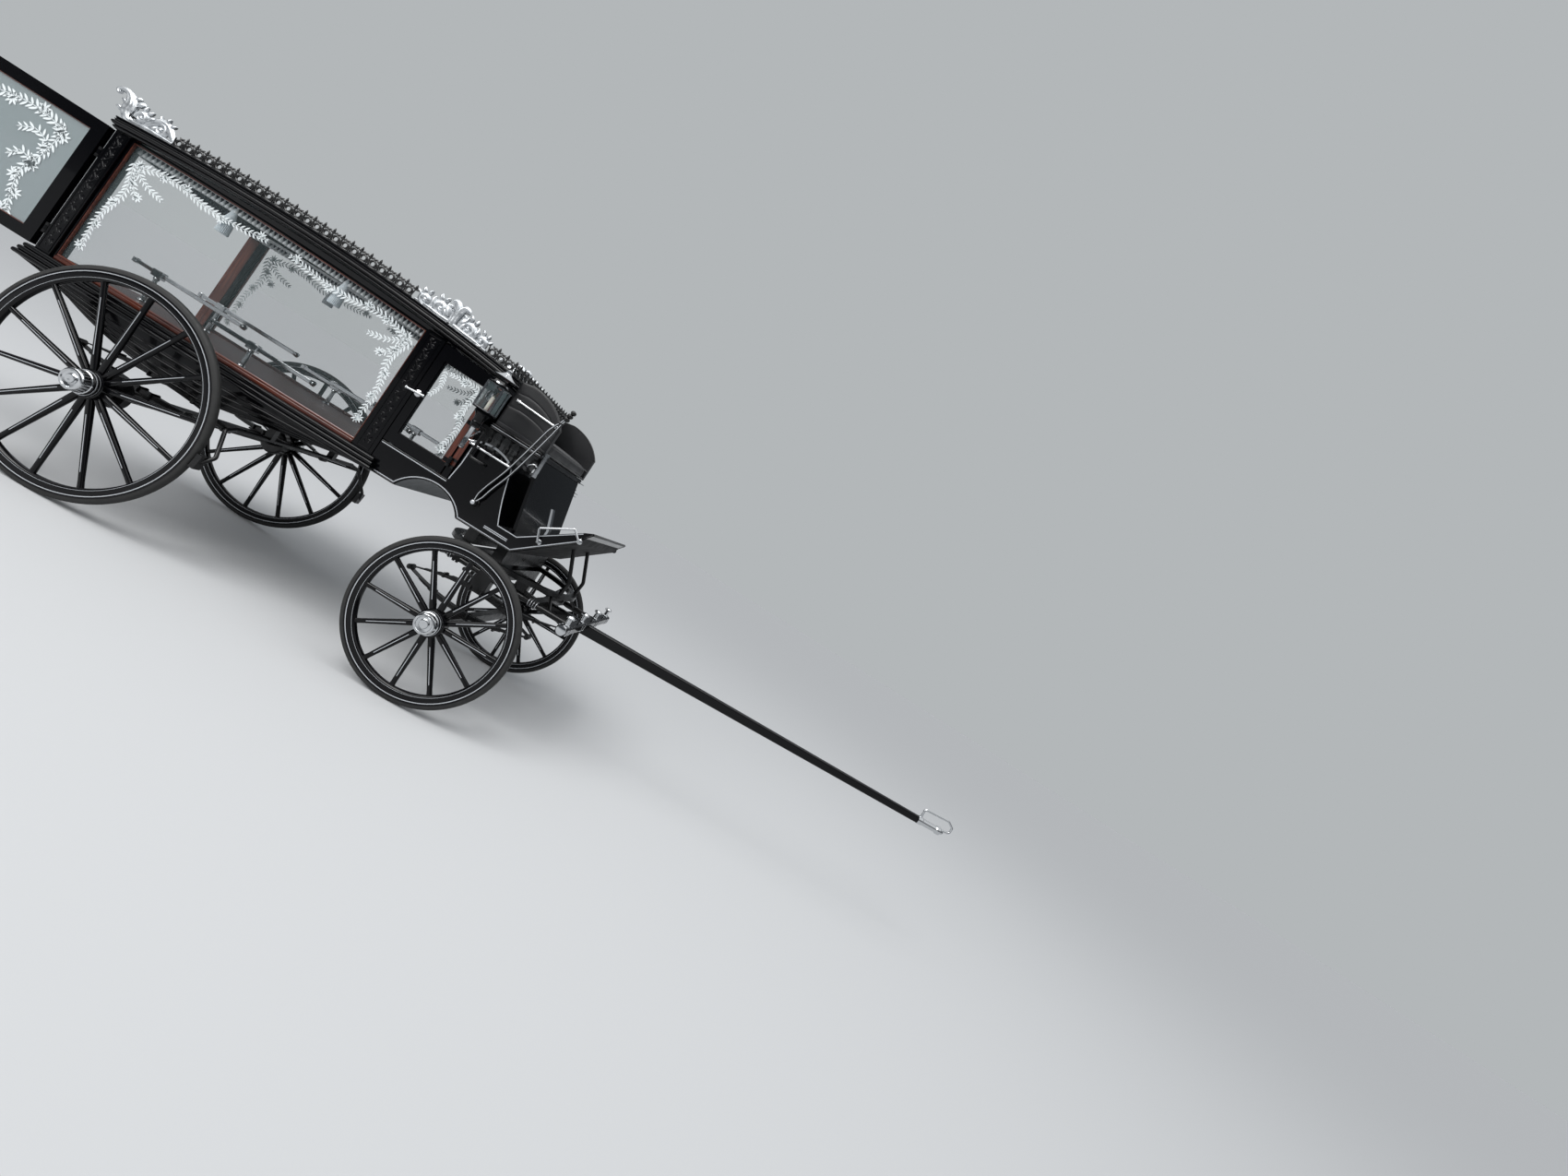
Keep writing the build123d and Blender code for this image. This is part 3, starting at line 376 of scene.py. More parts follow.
def dress(material_used, *names):
    """Give carried-over CAD nodes a finish."""
    for name in names:
        nodes[name].data.materials.clear()
        nodes[name].data.materials.append(material_used)


# Camera at the photograph's place: position, heading, pitch and roll
camera_at = (1.5603, -4.4782, 1.6039)
heading, pitch, roll = 0.07327, 0.03695, 0.56454
focal_px, frame_px = 682.8, 1700.0
sensor_mm = 36.0
forward = np.array([sin(heading) * cos(pitch), cos(heading) * cos(pitch), sin(pitch)])
level = np.array([cos(heading), -sin(heading), 0])
rise = np.cross(level, forward)
right = cos(roll) * level + sin(roll) * rise
upward = -sin(roll) * level + cos(roll) * rise
view = bpy.data.cameras.new("view")
view.sensor_width, view.sensor_fit = sensor_mm, "HORIZONTAL"
view.lens = focal_px / frame_px * sensor_mm
view.clip_end = 200
eye = bpy.data.objects.new("view", view)
turn = Matrix(np.stack([right, upward, -forward], -1).tolist()).to_4x4()
eye.matrix_world = Matrix.Translation(camera_at) @ turn
bpy.context.scene.collection.objects.link(eye)
bpy.context.scene.camera = eye


# The object's own sizes, read from the frame
def span(name):
    """Lowest and highest corners of a CAD node as arrays."""
    return tuple(np.array(corner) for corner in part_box(name))


def middle_of(name):
    """The middle of a CAD node's box."""
    low, high = span(name)
    return (low + high) / 2


sides = (("right", -1), ("left", 1))
rear_x, front_x = (middle_of(f"{place}_tyre_right")[0] for place in ("rear", "front"))     # the axles
post_low, post_high = span("body_posts")
bead_low, bead_high = span("window_beads")
sill_low, sill_high = span("sill")
cornice_low, cornice_high = span("cornice")
pane_low, pane_high = span("side_glass")
side_face = -post_low[1]                      # half width over the posts
roof_mid = (cornice_low[0] + cornice_high[0]) / 2
roof_half_x = (cornice_high[0] - cornice_low[0]) / 2
roof_half_y = cornice_high[1]
line_reach = roof_half_x - 0.008              # half the length over which the two bowed lines are given
roof_inset = 0.045                            # the mouldings are shallower than the plain solid's edge
cornice_line = (1.970, 2.032, 1.948)          # top of the cornice at its rear end, crown and front end
frame_line = (1.912, 1.930, 1.880)            # its underside at the same places


def bowed(heights):
    """Height of a bowed line at a place along X: the circle through its rear end, crown and front end."""
    rear, crown, front = heights
    a, b = np.array((-line_reach, rear - crown)), np.array((line_reach, front - crown))
    cross = 2 * (a[0] * b[1] - b[0] * a[1])
    aa, bb = a @ a, b @ b
    cx, cz = (b[1] * aa - a[1] * bb) / cross, (a[0] * bb - b[0] * aa) / cross
    return lambda x: crown + cz + np.sqrt(cx ** 2 + cz ** 2 - (np.asarray(x, float) - roof_mid - cx) ** 2)


roof_z, under_z = bowed(cornice_line), bowed(frame_line)


def rounded(points, radius, count=5):
    """A closed outline with rounded corners: each is swung by a quadratic through its two cut points."""
    p = np.asarray(points, float)
    before, after = np.roll(p, 1, 0), np.roll(p, -1, 0)
    a = before - p
    b = after - p
    la, lb = np.linalg.norm(a, axis=1), np.linalg.norm(b, axis=1)
    cut = np.minimum(radius, 0.48 * np.minimum(la, lb))[:, None]
    start, end = p + a / la[:, None] * cut, p + b / lb[:, None] * cut
    t = np.linspace(0, 1, count)[None, :, None]
    curve = (1 - t) ** 2 * start[:, None] + 2 * t * (1 - t) * p[:, None] + t ** 2 * end[:, None]
    return curve.reshape(-1, 2)


def moulding(section, low, high, face, out=-1.0, top=None):
    """A picture-frame moulding round the rectangle low..high in X and Z. Section points are (inset from the
    rectangle, distance out from the face in Y); its corners are mitred. top gives a bowed upper edge."""
    inset, lift = np.asarray(section, float).T
    corners = [(low[0] + inset, low[1] + inset), (high[0] - inset, low[1] + inset)]
    if top is None:
        corners += [(high[0] - inset, high[1] - inset), (low[0] + inset, high[1] - inset)]
    else:
        for share in np.linspace(1, 0, 25):
            x = (1 - share) * (low[0] + inset) + share * (high[0] - inset)
            corners.append((x, top(x) - inset))
    loop = np.array([rows(x, face + out * lift, z) for x, z in corners])
    return outward(grid(loop, wrap_u=True, wrap_v=True))


# Wheels
tyre_depth, felloe_depth = 0.039, 0.048
felloe_half, channel_half = 0.021, 0.0228     # half the width along the axle
spoke_half_width, spoke_half_depth = 0.0175, 0.0150
hub_profile = [(-0.078, 0), (-0.078, 0.056), (-0.070, 0.066), (-0.052, 0.068), (-0.049, 0.073), (-0.041, 0.073),
               (-0.038, 0.068), (-0.033, 0.070), (-0.029, 0.083), (0.029, 0.083), (0.033, 0.071),
               (0.037, 0.069), (0.039, 0.074), (0.047, 0.074), (0.049, 0.069), (0.055, 0.068), (0.0615, 0.064),
               (0.0615, 0)]
# The cap's profile: distances from its foot, and then back from its end
cap_base = [(0, 0), (0, 0.064), (0.002, 0.067), (0.006, 0.067), (0.008, 0.0635)]
cap_face = [(0.018, 0.0625), (0.012, 0.0615), (0.006, 0.058), (0.003, 0.052), (0.003, 0.047), (0.008, 0.043),
            (0.010, 0.030), (0.008, 0.026), (0.001, 0.024), (0, 0.020), (0.001, 0.010), (0.002, 0)]


def tyre_section(half, rim):
    """A tyre's (distance, radius) loop: straight walls with a lip, and a flattened half sine as its tread."""
    t = np.linspace(0, pi, 13)[1:-1]
    tread = rows(-half * np.cos(t) * 0.97, rim + 0.014 + (tyre_depth - 0.014) * np.sin(t) ** 0.6)
    return np.concatenate([[(half, rim), (-half, rim), (-half, rim + 0.010), (-half * 0.97, rim + 0.013)],
                           tread, [(half * 0.97, rim + 0.013), (half, rim + 0.010)]])


def wheel_wood(rim, felloe, centre, out, spoke_moves):
    """Felloes with their steel channel, turned hub, and spokes that taper outwards from the hub, where they
    are pinched, and swell again at the felloe. A spoke's section is a superellipse of power 2 / 0.75. Gives
    the wood, and a silver line down the middle of both faces of each spoke: lining, and also a painted
    highlight for the light along the spoke."""
    r = np.linspace(0.074, felloe + 0.004, 12)
    f = (r - r[0]) / (r[-1] - r[0])
    width = 1.12 - 0.36 * f + 0.10 * np.exp(-((f - 1) / 0.05) ** 2) - 0.16 * np.exp(-(f / 0.05) ** 2)
    t = np.linspace(0, 2 * pi, 14, endpoint=False)
    across, deep = (half * np.sign(wave) * np.abs(wave) ** 0.75
                    for half, wave in ((spoke_half_width, np.cos(t)), (spoke_half_depth, np.sin(t))))
    spoke = skin(rows(width[:, None] * across, width[:, None] * deep, r[:, None]))
    felloe_loop = [(-felloe_half, rim), (felloe_half, rim), (felloe_half, felloe + 0.010), (0.010, felloe),
                   (-0.010, felloe), (-felloe_half, felloe + 0.010)]
    channel_edge = [(channel_half, -0.004), (channel_half, 0.012), (0.0212, 0.012), (0.0212, 0)]
    channel_loop = [(s * a, rim + b) for s, order in ((-1, 1), (1, -1)) for a, b in channel_edge[::order]]
    wood = merge(hoop(rounded(felloe_loop, 0.006, 4), centre, out, 96), hoop(channel_loop, centre, out, 96),
                 lathe(hub_profile, centre, out, 64), repeat(spoke, spoke_moves))
    # Silver line down each spoke face: lining, and also a painted highlight for the light running along the
    # spoke
    flat = oblong(0.0017, 0.00075, 0, -0.00025)
    painted = [repeat(skin(rows(flat[:, 0], s * spoke_half_depth * width[2:-2, None] + s * flat[:, 1],
                                r[2:-2, None])),
                      spoke_moves) for s in (-1, 1)]
    return wood, merge(*painted)


def wheel_pieces(place, spokes, cap_length):
    """Each wheel as tyre, woodwork, silver lines (some of them painted highlights) and polished cap, turned
    about its axle.
    """
    angle = pi / 2 + 2 * pi * np.arange(spokes) / spokes
    ray, tangent = rows(np.cos(angle), 0, np.sin(angle)), rows(np.sin(angle), 0, -np.cos(angle))
    for side_name, side in sides:
        low, high = span(f"{place}_tyre_{side_name}")
        centre, radius, half = (low + high) / 2, (high[2] - low[2]) / 2, (high[1] - low[1]) / 2
        out, body = side * Y, f"{place}_wheel_body_{side_name}"
        rim = radius - tyre_depth
        felloe = rim - felloe_depth
        piece(f"tyre_{place}_{side_name}", hoop(tyre_section(half, rim), centre, out, 120), rubber, body,
              [f"{place}_tyre_{side_name}"])
        wood, painted = wheel_wood(rim, felloe, centre, out, matrix(tangent, Y, ray, centre))
        piece(f"woodwork_{place}_{side_name}", wood, enamel, body, [f"{place}_wheel_{side_name}"])
        # Silver rings on both faces of the felloe: a wide line by the tyre, and a thin painted highlight near
        # the inner edge
        rings = [ring_band(centre, s * out, d, r0, 0.0008, w, 96)
                 for s in (-1, 1) for d, r0, w in ((0.0226, rim - 0.003, 0.0045),
                                                   (0.0208, felloe + 0.014, 0.0016))]
        rings += [ring_band(centre, out, d, 0.066, 0.003, w, 64)
                  for d, w in ((0.0335, 0.0065), (0.0485, 0.0052))]
        piece(f"lines_{place}_{side_name}", merge(*rings, painted), line, body)
        cap = cap_base + [(cap_length - back, r) for back, r in cap_face]
        piece(f"cap_{place}_{side_name}", lathe(cap, centre + 0.062 * out, out, 96), nickel, body,
              [f"{place}_hub_cap_{side_name}"], angle=28)


wheel_pieces("rear", 14, 0.062)
wheel_pieces("front", 12, 0.044)


# Roof: crowned cornice, cresting, carved scrolls and the lining under the board
section_depth = 0.120


def crowned_frame(section):
    """A closed section (out from the cornice's edge, below its top line, how much it follows that line)
    carried round the roof's rectangle; a share of 0 follows the underside, plus its height. At the sides and
    the rear the section is squeezed inwards, so that its outer edge is roof_inset further in and its inner
    edge stays."""
    along_x, along_y = np.linspace(-1, 1, 40), np.linspace(-1, 1, 9)
    one_x, one_y = np.ones(40), np.ones(9)
    ux = np.concatenate([along_x, one_y, along_x[::-1], -one_y])[:, None]
    uy = np.concatenate([-one_x, along_y, one_x, along_y[::-1]])[:, None]
    out, depth, share = np.array(section).T
    squeezed = out * (1 - roof_inset / section_depth) - roof_inset
    rear, front = roof_mid - roof_half_x - squeezed, roof_mid + roof_half_x + out
    x = rear + (front - rear) * (ux + 1) / 2
    z = share * (roof_z(x) - depth) + (1 - share) * (under_z(x) + depth)
    return outward(grid(rows(x, uy * (roof_half_y + squeezed), z), wrap_u=True, wrap_v=True))


def bulge(o0, d0, o1, d1, out, count=8):
    """A round-nosed stretch of the cornice's section between two points, standing out by a half sine."""
    t = np.linspace(0, 1, count)
    return [(o0 + (o1 - o0) * f + out * sin(pi * f), d0 + (d1 - d0) * f, 1) for f in t]


cornice_section = ([(-0.120, 0, 1), (-0.012, 0, 1), (-0.009, 0.002, 1), (-0.009, 0.008, 1), (-0.014, 0.010, 1),
                    (-0.014, 0.014, 1)] + bulge(-0.012, 0.015, -0.012, 0.021, 0.004, 5)
                   + bulge(-0.014, 0.023, -0.014, 0.047, 0.014) + bulge(-0.024, 0.049, -0.026, 0.064, 0.009)
                   + [(-0.034, 0.067, 1), (-0.046, 0.070, 1), (-0.062, 0.071, 1), (-0.070, 0.073, 1),
                      (-0.084, 0.006, 0), (-0.088, 0.0, 0), (-0.120, 0.0, 0)])
piece("cornice_moulding", crowned_frame(cornice_section), enamel, replaces=["cornice"],
      angle=30)
dress(enamel, "roof_board")

# Velvet lining, drawn tight in pleats: a rectified sine across the roof
lining_depth, pleat_depth, pleats = 0.0365, 0.004, 40
well_half_x, well_half_y = roof_half_x - 0.122, roof_half_y - 0.122
lx, ly = np.meshgrid(np.linspace(-1, 1, 49), np.linspace(-1, 1, 161), indexing="ij")
ceiling_x, ceiling_y = roof_mid + well_half_x * lx, well_half_y * ly
ceiling_z = roof_z(ceiling_x) - lining_depth
ceiling = rows(ceiling_x, ceiling_y, ceiling_z - pleat_depth * np.abs(np.sin(pleats * pi * ly / 2)))
ceiling_back = rows(ceiling_x, ceiling_y, ceiling_z + 0.0013)
roof_lining = piece("roof_lining", skin(np.concatenate([ceiling, ceiling_back[:, ::-1]], 1)), velvet,
                    angle=60)


def leaf(length, width, thick, count=7):
    """A lens-shaped leaf along +X from the origin: width and thickness follow half a sine along it."""
    u = np.linspace(0.03, 0.985, count)[:, None]
    w, h = width / 2 * np.sin(pi * u ** 0.85), thick / 2 * np.sin(pi * u) ** 0.7
    return skin(rows(u * length, w * (1, 0.3, -0.3, -1, -0.3, 0.3), h * (0, 1, 1, 0, -1, -1)))


def turned_in_plane(shape, angle, at):
    """A flat shape in X and Y turned by an angle and moved, still flat."""
    c, s = cos(angle), sin(angle)
    return shape[0] @ np.array([[c, s, 0], [-s, c, 0], [0, 0, 1]]) + np.array([*at, 0.0]), shape[1]


# Cresting: rings and three-leaved spears along the edges of the roof
crest_pitch, ring_radius, ring_height = 0.0625, 0.0185, 0.030
crest_ball = [(-0.008, 0), (-0.006, 0.0055), (0, 0.0085), (0.006, 0.0055), (0.008, 0)]


def crest_unit():
    """One repeat of the cresting, flat in its own plane: base bar, pierced ring, ball, and a three-leaved spear
    between this ring and the next."""
    half = crest_pitch / 2
    t, u = np.linspace(0, 2 * pi, 16, endpoint=False), np.linspace(0, 1, 8)
    parts = [tube(rows(ring_radius * np.cos(t), ring_height + ring_radius * np.sin(t), 0), 0.0066, 8,
                  closed=True),
             slab((-half, 0.0, -0.006), (half, 0.010, 0.006), 0.0015), lathe(crest_ball, (0, 0.057, 0), Y, 8)]
    for s in (-1, 1):
        parts += [turned_in_plane(leaf(0.020, 0.011, 0.008, 5), pi / 2 + s * 0.9, (0, 0.056)),
                  tube(rows(s * (0.024 + 0.007 * u), 0.009 + 0.046 * u, 0), 0.0045, 6, scale=1.1 - 0.3 * u)]
    for lean, size, x, z in ((0, 1.0, 0, 0.048), (0.95, 0.72, -0.002, 0.050), (-0.95, 0.72, 0.002, 0.050)):
        spear = leaf(0.038 * size, 0.017 * size, 0.011 * size, 6)
        parts.append(turned_in_plane(spear, pi / 2 + lean, (half + x, z)))
    return merge(*parts)


def crest_moves(start, end, fixed, along_x):
    """Places of a row of crest units between two stations, upright and following the crown."""
    count = int(round(abs(end - start) / crest_pitch))
    s = start + (np.arange(count) + 0.5) * (end - start) / count
    if not along_x:
        return matrix(Y, Z, X, rows(fixed, s, roof_z(fixed) - 0.001))
    slope = (roof_z(s + 0.01) - roof_z(s - 0.01)) / 0.02
    return matrix(rows(1, 0, slope), Z, -Y, rows(s, fixed, roof_z(s) - 0.001))


crest_end = span("cresting")[1]
row_y, crest_x = crest_end[1] - 0.005 - roof_inset, crest_end[0]
scroll_high = span("roof_scrolls")[1]
front_scroll_x = (scroll_high[0] - 0.490, scroll_high[0] + 0.020)
corner_x = cornice_low[0] + roof_inset
rear_scroll_end = corner_x + 0.300
crest_rows = [crest_moves(start + 0.01, end - 0.01, s * row_y, True) for s in (-1, 1)
              for start, end in ((rear_scroll_end, front_scroll_x[0]), (front_scroll_x[1], crest_x))]
crest_rows += [crest_moves(0.005 - row_y, row_y - 0.005, x, False) for x in (corner_x + 0.035, crest_x - 0.005)]
piece("crest_castings", repeat(crest_unit(), np.concatenate(crest_rows)), cast,
      replaces=["cresting"], angle=50)


# Carvings, each drawn in the X-Z plane above a level line
def frond(corners, widths, depth=0.015, flutes=6, count=46):
    """A carved leaf in the X-Z plane: along a smooth path its half width follows the list of widths, its
    depth the square root of that, and its section is an ellipse rippled by a cosine of several times the
    angle."""
    path = smooth_path([(x, 0, z) for x, z in corners], count)
    w = np.interp(np.linspace(0, 1, count), np.linspace(0, 1, len(widths)), widths)[:, None, None]
    t = np.linspace(0, 2 * pi, 6 * flutes, endpoint=False)[:, None]
    ripple = 1 + 0.11 * np.cos(flutes * t)
    across = w * ripple * np.cos(t) * frames(path, False, Y)[1][:, None]
    return skin(path[:, None] + across + depth * np.sqrt(w / max(widths)) * ripple * np.sin(t) * Y)


def scroll(centre, radius, start, hand, width=0.019):
    """A carved volute round a boss: a frond on a spiral whose radius falls as a power of the way along."""
    u = np.linspace(0, 1, 16)
    r, a = radius * (0.20 + 0.80 * (1 - u) ** 1.3), start + hand * 2.7 * pi * u
    bar = frond(rows(centre[0] + r * np.cos(a), centre[1] + r * np.sin(a)),
                width * np.array((0.5, 1, 0.95, 0.8, 0.6, 0.45)), 0.015, 4, 64)
    boss = [(-0.014, 0), (-0.012, 0.008), (0, 0.011), (0.012, 0.008), (0.014, 0)]
    return merge(bar, lathe(boss, (centre[0], 0, centre[1]), Y, 12))


def lobe(start, angle, length, width=0.5, curl=0.6, depth=0.012, count=14):
    """A short carved leaf: its heading turns by the square of the way along, and its width is half a sine."""
    a = angle + curl * np.linspace(0, 1, 7)[1:] ** 2
    steps = rows(np.cos(a), np.sin(a)) * length / 6
    spine = np.concatenate([[start], start + np.cumsum(steps, axis=0)])
    widths = width * length / 2 * np.sin(pi * np.clip(0.14 + 0.82 * np.linspace(0, 1, 9), 0, 1))
    return frond(spine, widths, depth, 3, count)


def on_crown(shape, y):
    """A carving drawn above a level line, set down on the crowned cornice at a distance from the middle."""
    p = shape[0].copy()
    p[:, 2] += roof_z(np.clip(p[:, 0], cornice_low[0] + 0.012, cornice_high[0]))
    p[:, 1] += y
    return p, shape[1]


def fan(centre, radius, angles, size, curl):
    """Leaves standing round a volute, each turned on from its own angle."""
    return [lobe((centre[0] + radius * cos(a), centre[1] + radius * sin(a)), a, size, 0.6, curl)
            for a in angles]


# Rear corner carving: a tall fluted leaf that rolls back over the corner, two volutes and their leaves
carving_y = scroll_high[1] - 0.017 - roof_inset
tall_leaf = [(0.062, 0.008), (0.022, 0.022), (0.000, 0.060), (0.002, 0.098), (-0.012, 0.132), (-0.042, 0.156),
             (-0.076, 0.156), (-0.094, 0.142), (-0.086, 0.128)]
trailing_leaf = [(0.050, 0.014), (0.110, 0.012), (0.170, 0.014), (0.235, 0.010), (0.300, 0.010)]
arched_leaf = [(0.120, 0.020), (0.146, 0.058), (0.184, 0.090), (0.232, 0.086), (0.272, 0.050), (0.304, 0.012)]
rear_eyes = (0.086, 0.056), (0.208, 0.046)
rear_lobes = (((0.132, 0.020), 1.5, 0.080, 0.5, -0.7), ((0.150, 0.012), 1.1, 0.060, 0.6, -0.6),
              ((-0.020, 0.050), 2.7, 0.046, 0.6, 0.8), ((-0.022, 0.094), 2.5, 0.040, 0.6, 0.8),
              ((0.028, 0.106), 0.9, 0.054, 0.7, -0.9), ((0.004, 0.136), 0.8, 0.040, 0.7, -0.9))
rear_carving = [frond(tall_leaf, [0.016, 0.024, 0.034, 0.036, 0.028, 0.016, 0.013, 0.015, 0.013], 0.019, 7, 70),
                scroll(rear_eyes[0], 0.036, 3.4, -1), scroll(rear_eyes[1], 0.040, 2.9, -1),
                frond(trailing_leaf, [0.014, 0.020, 0.018, 0.018, 0.008], 0.019, 5),
                frond(arched_leaf, [0.016, 0.021, 0.021, 0.019, 0.016, 0.008], 0.017, 5),
                *fan(rear_eyes[0], 0.036, (0.5, 1.1, 1.7, -0.4), 0.044, -0.7),
                *fan(rear_eyes[1], 0.054, (0.9, 1.5, 2.1), 0.036, -0.7), *[lobe(*each) for each in rear_lobes]]
rear_set = on_crown(moved(merge(*rear_carving), (corner_x, 0, 0)), -carving_y)

# Front carving over the post: a standing leaf whose top rolls to both sides, with two volutes on each side
post_scroll_x = (front_scroll_x[0] + front_scroll_x[1]) / 2
standing_leaf = [(0.006, 0.010), (0.007, 0.060), (0.012, 0.108), (0.026, 0.136), (0.046, 0.138), (0.052, 0.122)]
base_leaf = [(0.020, 0.014), (0.090, 0.010), (0.160, 0.012), (0.252, 0.009)]
front_eyes = (0.098, 0.052), (0.198, 0.040)
front_lobes = (((0.034, 0.040), 0.9, 0.080, 0.55, 0.5), ((0.146, 0.024), 1.3, 0.076, 0.5, 0.5),
               ((0.050, 0.020), 1.2, 0.070, 0.5, -0.5))
half_set = merge(frond(standing_leaf, [0.022, 0.020, 0.022, 0.020, 0.015, 0.013], 0.019, 5),
                 scroll(front_eyes[0], 0.046, -2.2, 1, 0.020), scroll(front_eyes[1], 0.038, -2.4, 1, 0.018),
                 frond(base_leaf, [0.016, 0.019, 0.017, 0.007], 0.018, 5),
                 *fan(front_eyes[0], 0.044, (1.1, 1.7, 2.3), 0.044, 0.7),
                 *fan(front_eyes[1], 0.036, (0.4, 1.0, 1.7), 0.038, 0.7),
                 *[lobe(*each) for each in front_lobes])
front_set = on_crown(moved(merge(half_set, flipped(half_set, 0)), (post_scroll_x, 0, 0)), -carving_y)
piece("roof_carvings", both(merge(rear_set, front_set)), silver,
      replaces=["roof_scrolls"], angle=60)


# Etched glass: sprays of leaves and flowers standing a hair off the pane
def spray_marks(path, leaf_length, step, petal, flowers):
    """Leaf marks (x, z, angle, length, width share) in pairs along a path in X and Z, with eight-petalled
    flowers at shares of its length, set to the two sides in turn."""
    p = smooth_path(path, 200)
    run = np.concatenate([[0], np.cumsum(np.linalg.norm(np.diff(p, axis=0), axis=1))])
    dx, dz = np.gradient(p, axis=0).T
    track = *p.T, np.unwrap(np.arctan2(dz, dx))
    s = np.arange(0.004, run[-1], step)
    x, z, angle = (np.interp(s, run, each) for each in track)
    size = leaf_length * (1 - 0.25 * s / run[-1]) * rng.uniform(0.8, 1.1, len(s))
    marks = [rows(x, z, angle + hand * 0.80 * rng.uniform(0.8, 1.15, len(s)), size, 0.27) for hand in (-1, 1)]
    marks += [rows(x, z, angle, step * 1.2, 0.11), rows(x[-1:], z[-1:], angle[-1:], size[-1:], 0.27)]
    for k, share in enumerate(flowers):
        fx, fz, aside = (np.interp(share * run[-1], run, each) for each in track)
        aside += (-1) ** k * pi / 2
        marks.append(rows(fx + 0.45 * petal * cos(aside), fz + 0.45 * petal * sin(aside),
                          np.arange(8) * pi / 4 + share * 9, petal, 0.30))
    return np.concatenate(marks)


def sprays(corner, step, petal, *runs):
    """Marks of several sprays, each given as its path from a corner of the pane, leaf length and flowers."""
    return np.concatenate([spray_marks(np.add(corner, path), leaf_length, step, petal, flowers)
                           for path, leaf_length, *flowers in runs])


def etching(marks, y, depth):
    """Marks as flat lens-shaped plates: each an eight-cornered lens from its foot along its angle."""
    u = np.array((0.0, 0.25, 0.55, 0.82, 1.0, 0.82, 0.55, 0.25))
    v = np.array((0.0, 0.42, 0.5, 0.3, 0.0, -0.3, -0.5, -0.42))
    foot_x, foot_z, angle, length, width = marks.T[:, :, None]
    lx, lz, c, s = length * u, length * width * v, np.cos(angle), np.sin(angle)
    x, z = foot_x + c * lx - s * lz, foot_z + s * lx + c * lz
    points = np.concatenate([rows(x, y, z), rows(x, y + depth, z)], 1).reshape(-1, 3)
    base, i = np.arange(len(marks))[:, None] * 16, np.arange(8)
    j = (i + 1) % 8
    rim = (base[:, :, None] + rows(i, j, 8 + j, 8 + i)).reshape(-1, 4)
    faces = [base + i[::-1], base + 8 + i, rim]
    return points, [f[:, ::-1] for f in faces] if depth < 0 else faces


etch_depth = 0.0005
garland = sprays((pane_low[0] + 0.03, pane_high[2] - 0.105), 0.025, 0.030,
                 ([(0.05, -0.03), (0.25, 0.012), (0.52, -0.018), (0.86, 0.010)], 0.042,
                  0.02, 0.20, 0.36, 0.66, 0.95),
                 ([(0.03, -0.02), (0.075, -0.20), (0.035, -0.40), (0.05, -0.60)], 0.042,
                  0.18, 0.45, 0.72, 0.97),
                 ([(0.06, -0.05), (0.16, -0.10), (0.27, -0.125)], 0.038),
                 ([(0.08, -0.12), (0.145, -0.20)], 0.034, 0.9))
mirrored = garland * (-1, 1, -1, 1, 1) + (pane_low[0] + pane_high[0], 0, pi, 0, 0)
side_marks = np.concatenate([garland, mirrored])
piece("side_etching", both(etching(side_marks, pane_low[1], -etch_depth)), frost)

door_low, door_high = span("rear_door_glass")
door_top = door_high[2] - 0.10
door_marks = [
    sprays((door_high[0] - 0.14, door_top), 0.031, 0.042,
           ([(0.02, 0), (0, -0.16), (-0.05, -0.33), (0.01, -0.56)], 0.054, 0.05, 0.25, 0.45, 0.62, 0.80, 0.97),
           ([(0.03, 0.01), (-0.20, 0.035), (-0.45, 0), (-0.70, 0.03)], 0.054, 0.04, 0.22, 0.45, 0.70, 0.97),
           ([(-0.02, -0.10), (-0.10, -0.075), (-0.19, -0.11)], 0.054),
           ([(-0.02, -0.24), (-0.10, -0.225), (-0.155, -0.27)], 0.054, 0.02)),
    sprays((door_low[0], door_top), 0.031, 0.042,
           ([(0.11, 0), (0.12, -0.18), (0.14, -0.36), (0.10, -0.54)], 0.054, 0.05, 0.3, 0.55, 0.8, 0.97))]
piece("door_etching", etching(np.concatenate(door_marks), door_low[1], -etch_depth), frost, "rear_door_body")

for side_name, side in sides:
    low, high = span(f"quarter_glass_{side_name}")
    back = low[0] - high[0] + 0.06            # from the spray's front corner to its rear one
    marks = sprays((high[0] - 0.03, high[2] - 0.045), 0.018, 0.030,
                   ([(-0.005, 0), (-0.03, -0.14), (0, -0.28), (-0.03, -0.42)], 0.034, 0.03, 0.45, 0.97),
                   ([(-0.01, 0.005), (-0.12, 0.01), (back + 0.03, -0.005)], 0.034, 0.5),
                   ([(back, 0), (back + 0.02, -0.10), (back - 0.005, -0.17)], 0.03))
    piece(f"quarter_etching_{side_name}", etching(marks, (low if side < 0 else high)[1], side * etch_depth),
          frost, f"quarter_door_body_{side_name}")
dress(glass, "side_glass", "rear_door_glass", "quarter_glass_right", "quarter_glass_left")

# Window mouldings: a black round outside, a thin mahogany bead by the glass, a mahogany rail at the sill
window = bead_low[[0, 2]], bead_high[[0, 2]], bead_low[1] + 0.006
black_round = [(0.0, 0.0), (0.001, 0.005), (0.004, 0.0085), (0.009, 0.0085), (0.012, 0.006), (0.013, 0.0),
               (0.013, -0.010), (0.0, -0.010)]
red_bead = [(0.0132, 0.0), (0.0140, 0.0045), (0.0165, 0.0058), (0.0190, 0.004), (0.0200, 0.0), (0.0200, -0.010),
            (0.0132, -0.010)]
sill_rail, sill_strip = (
    slab((bead_low[0] + 0.0132, bead_low[1] - lip, bead_low[2] + z0),
         (bead_high[0] - 0.0132, bead_low[1] + 0.014, bead_low[2] + z1), edge)
    for lip, z0, z1, edge in ((0.0045, 0.0005, 0.018, 0.002), (0.001, 0.0185, 0.034, 0.004)))
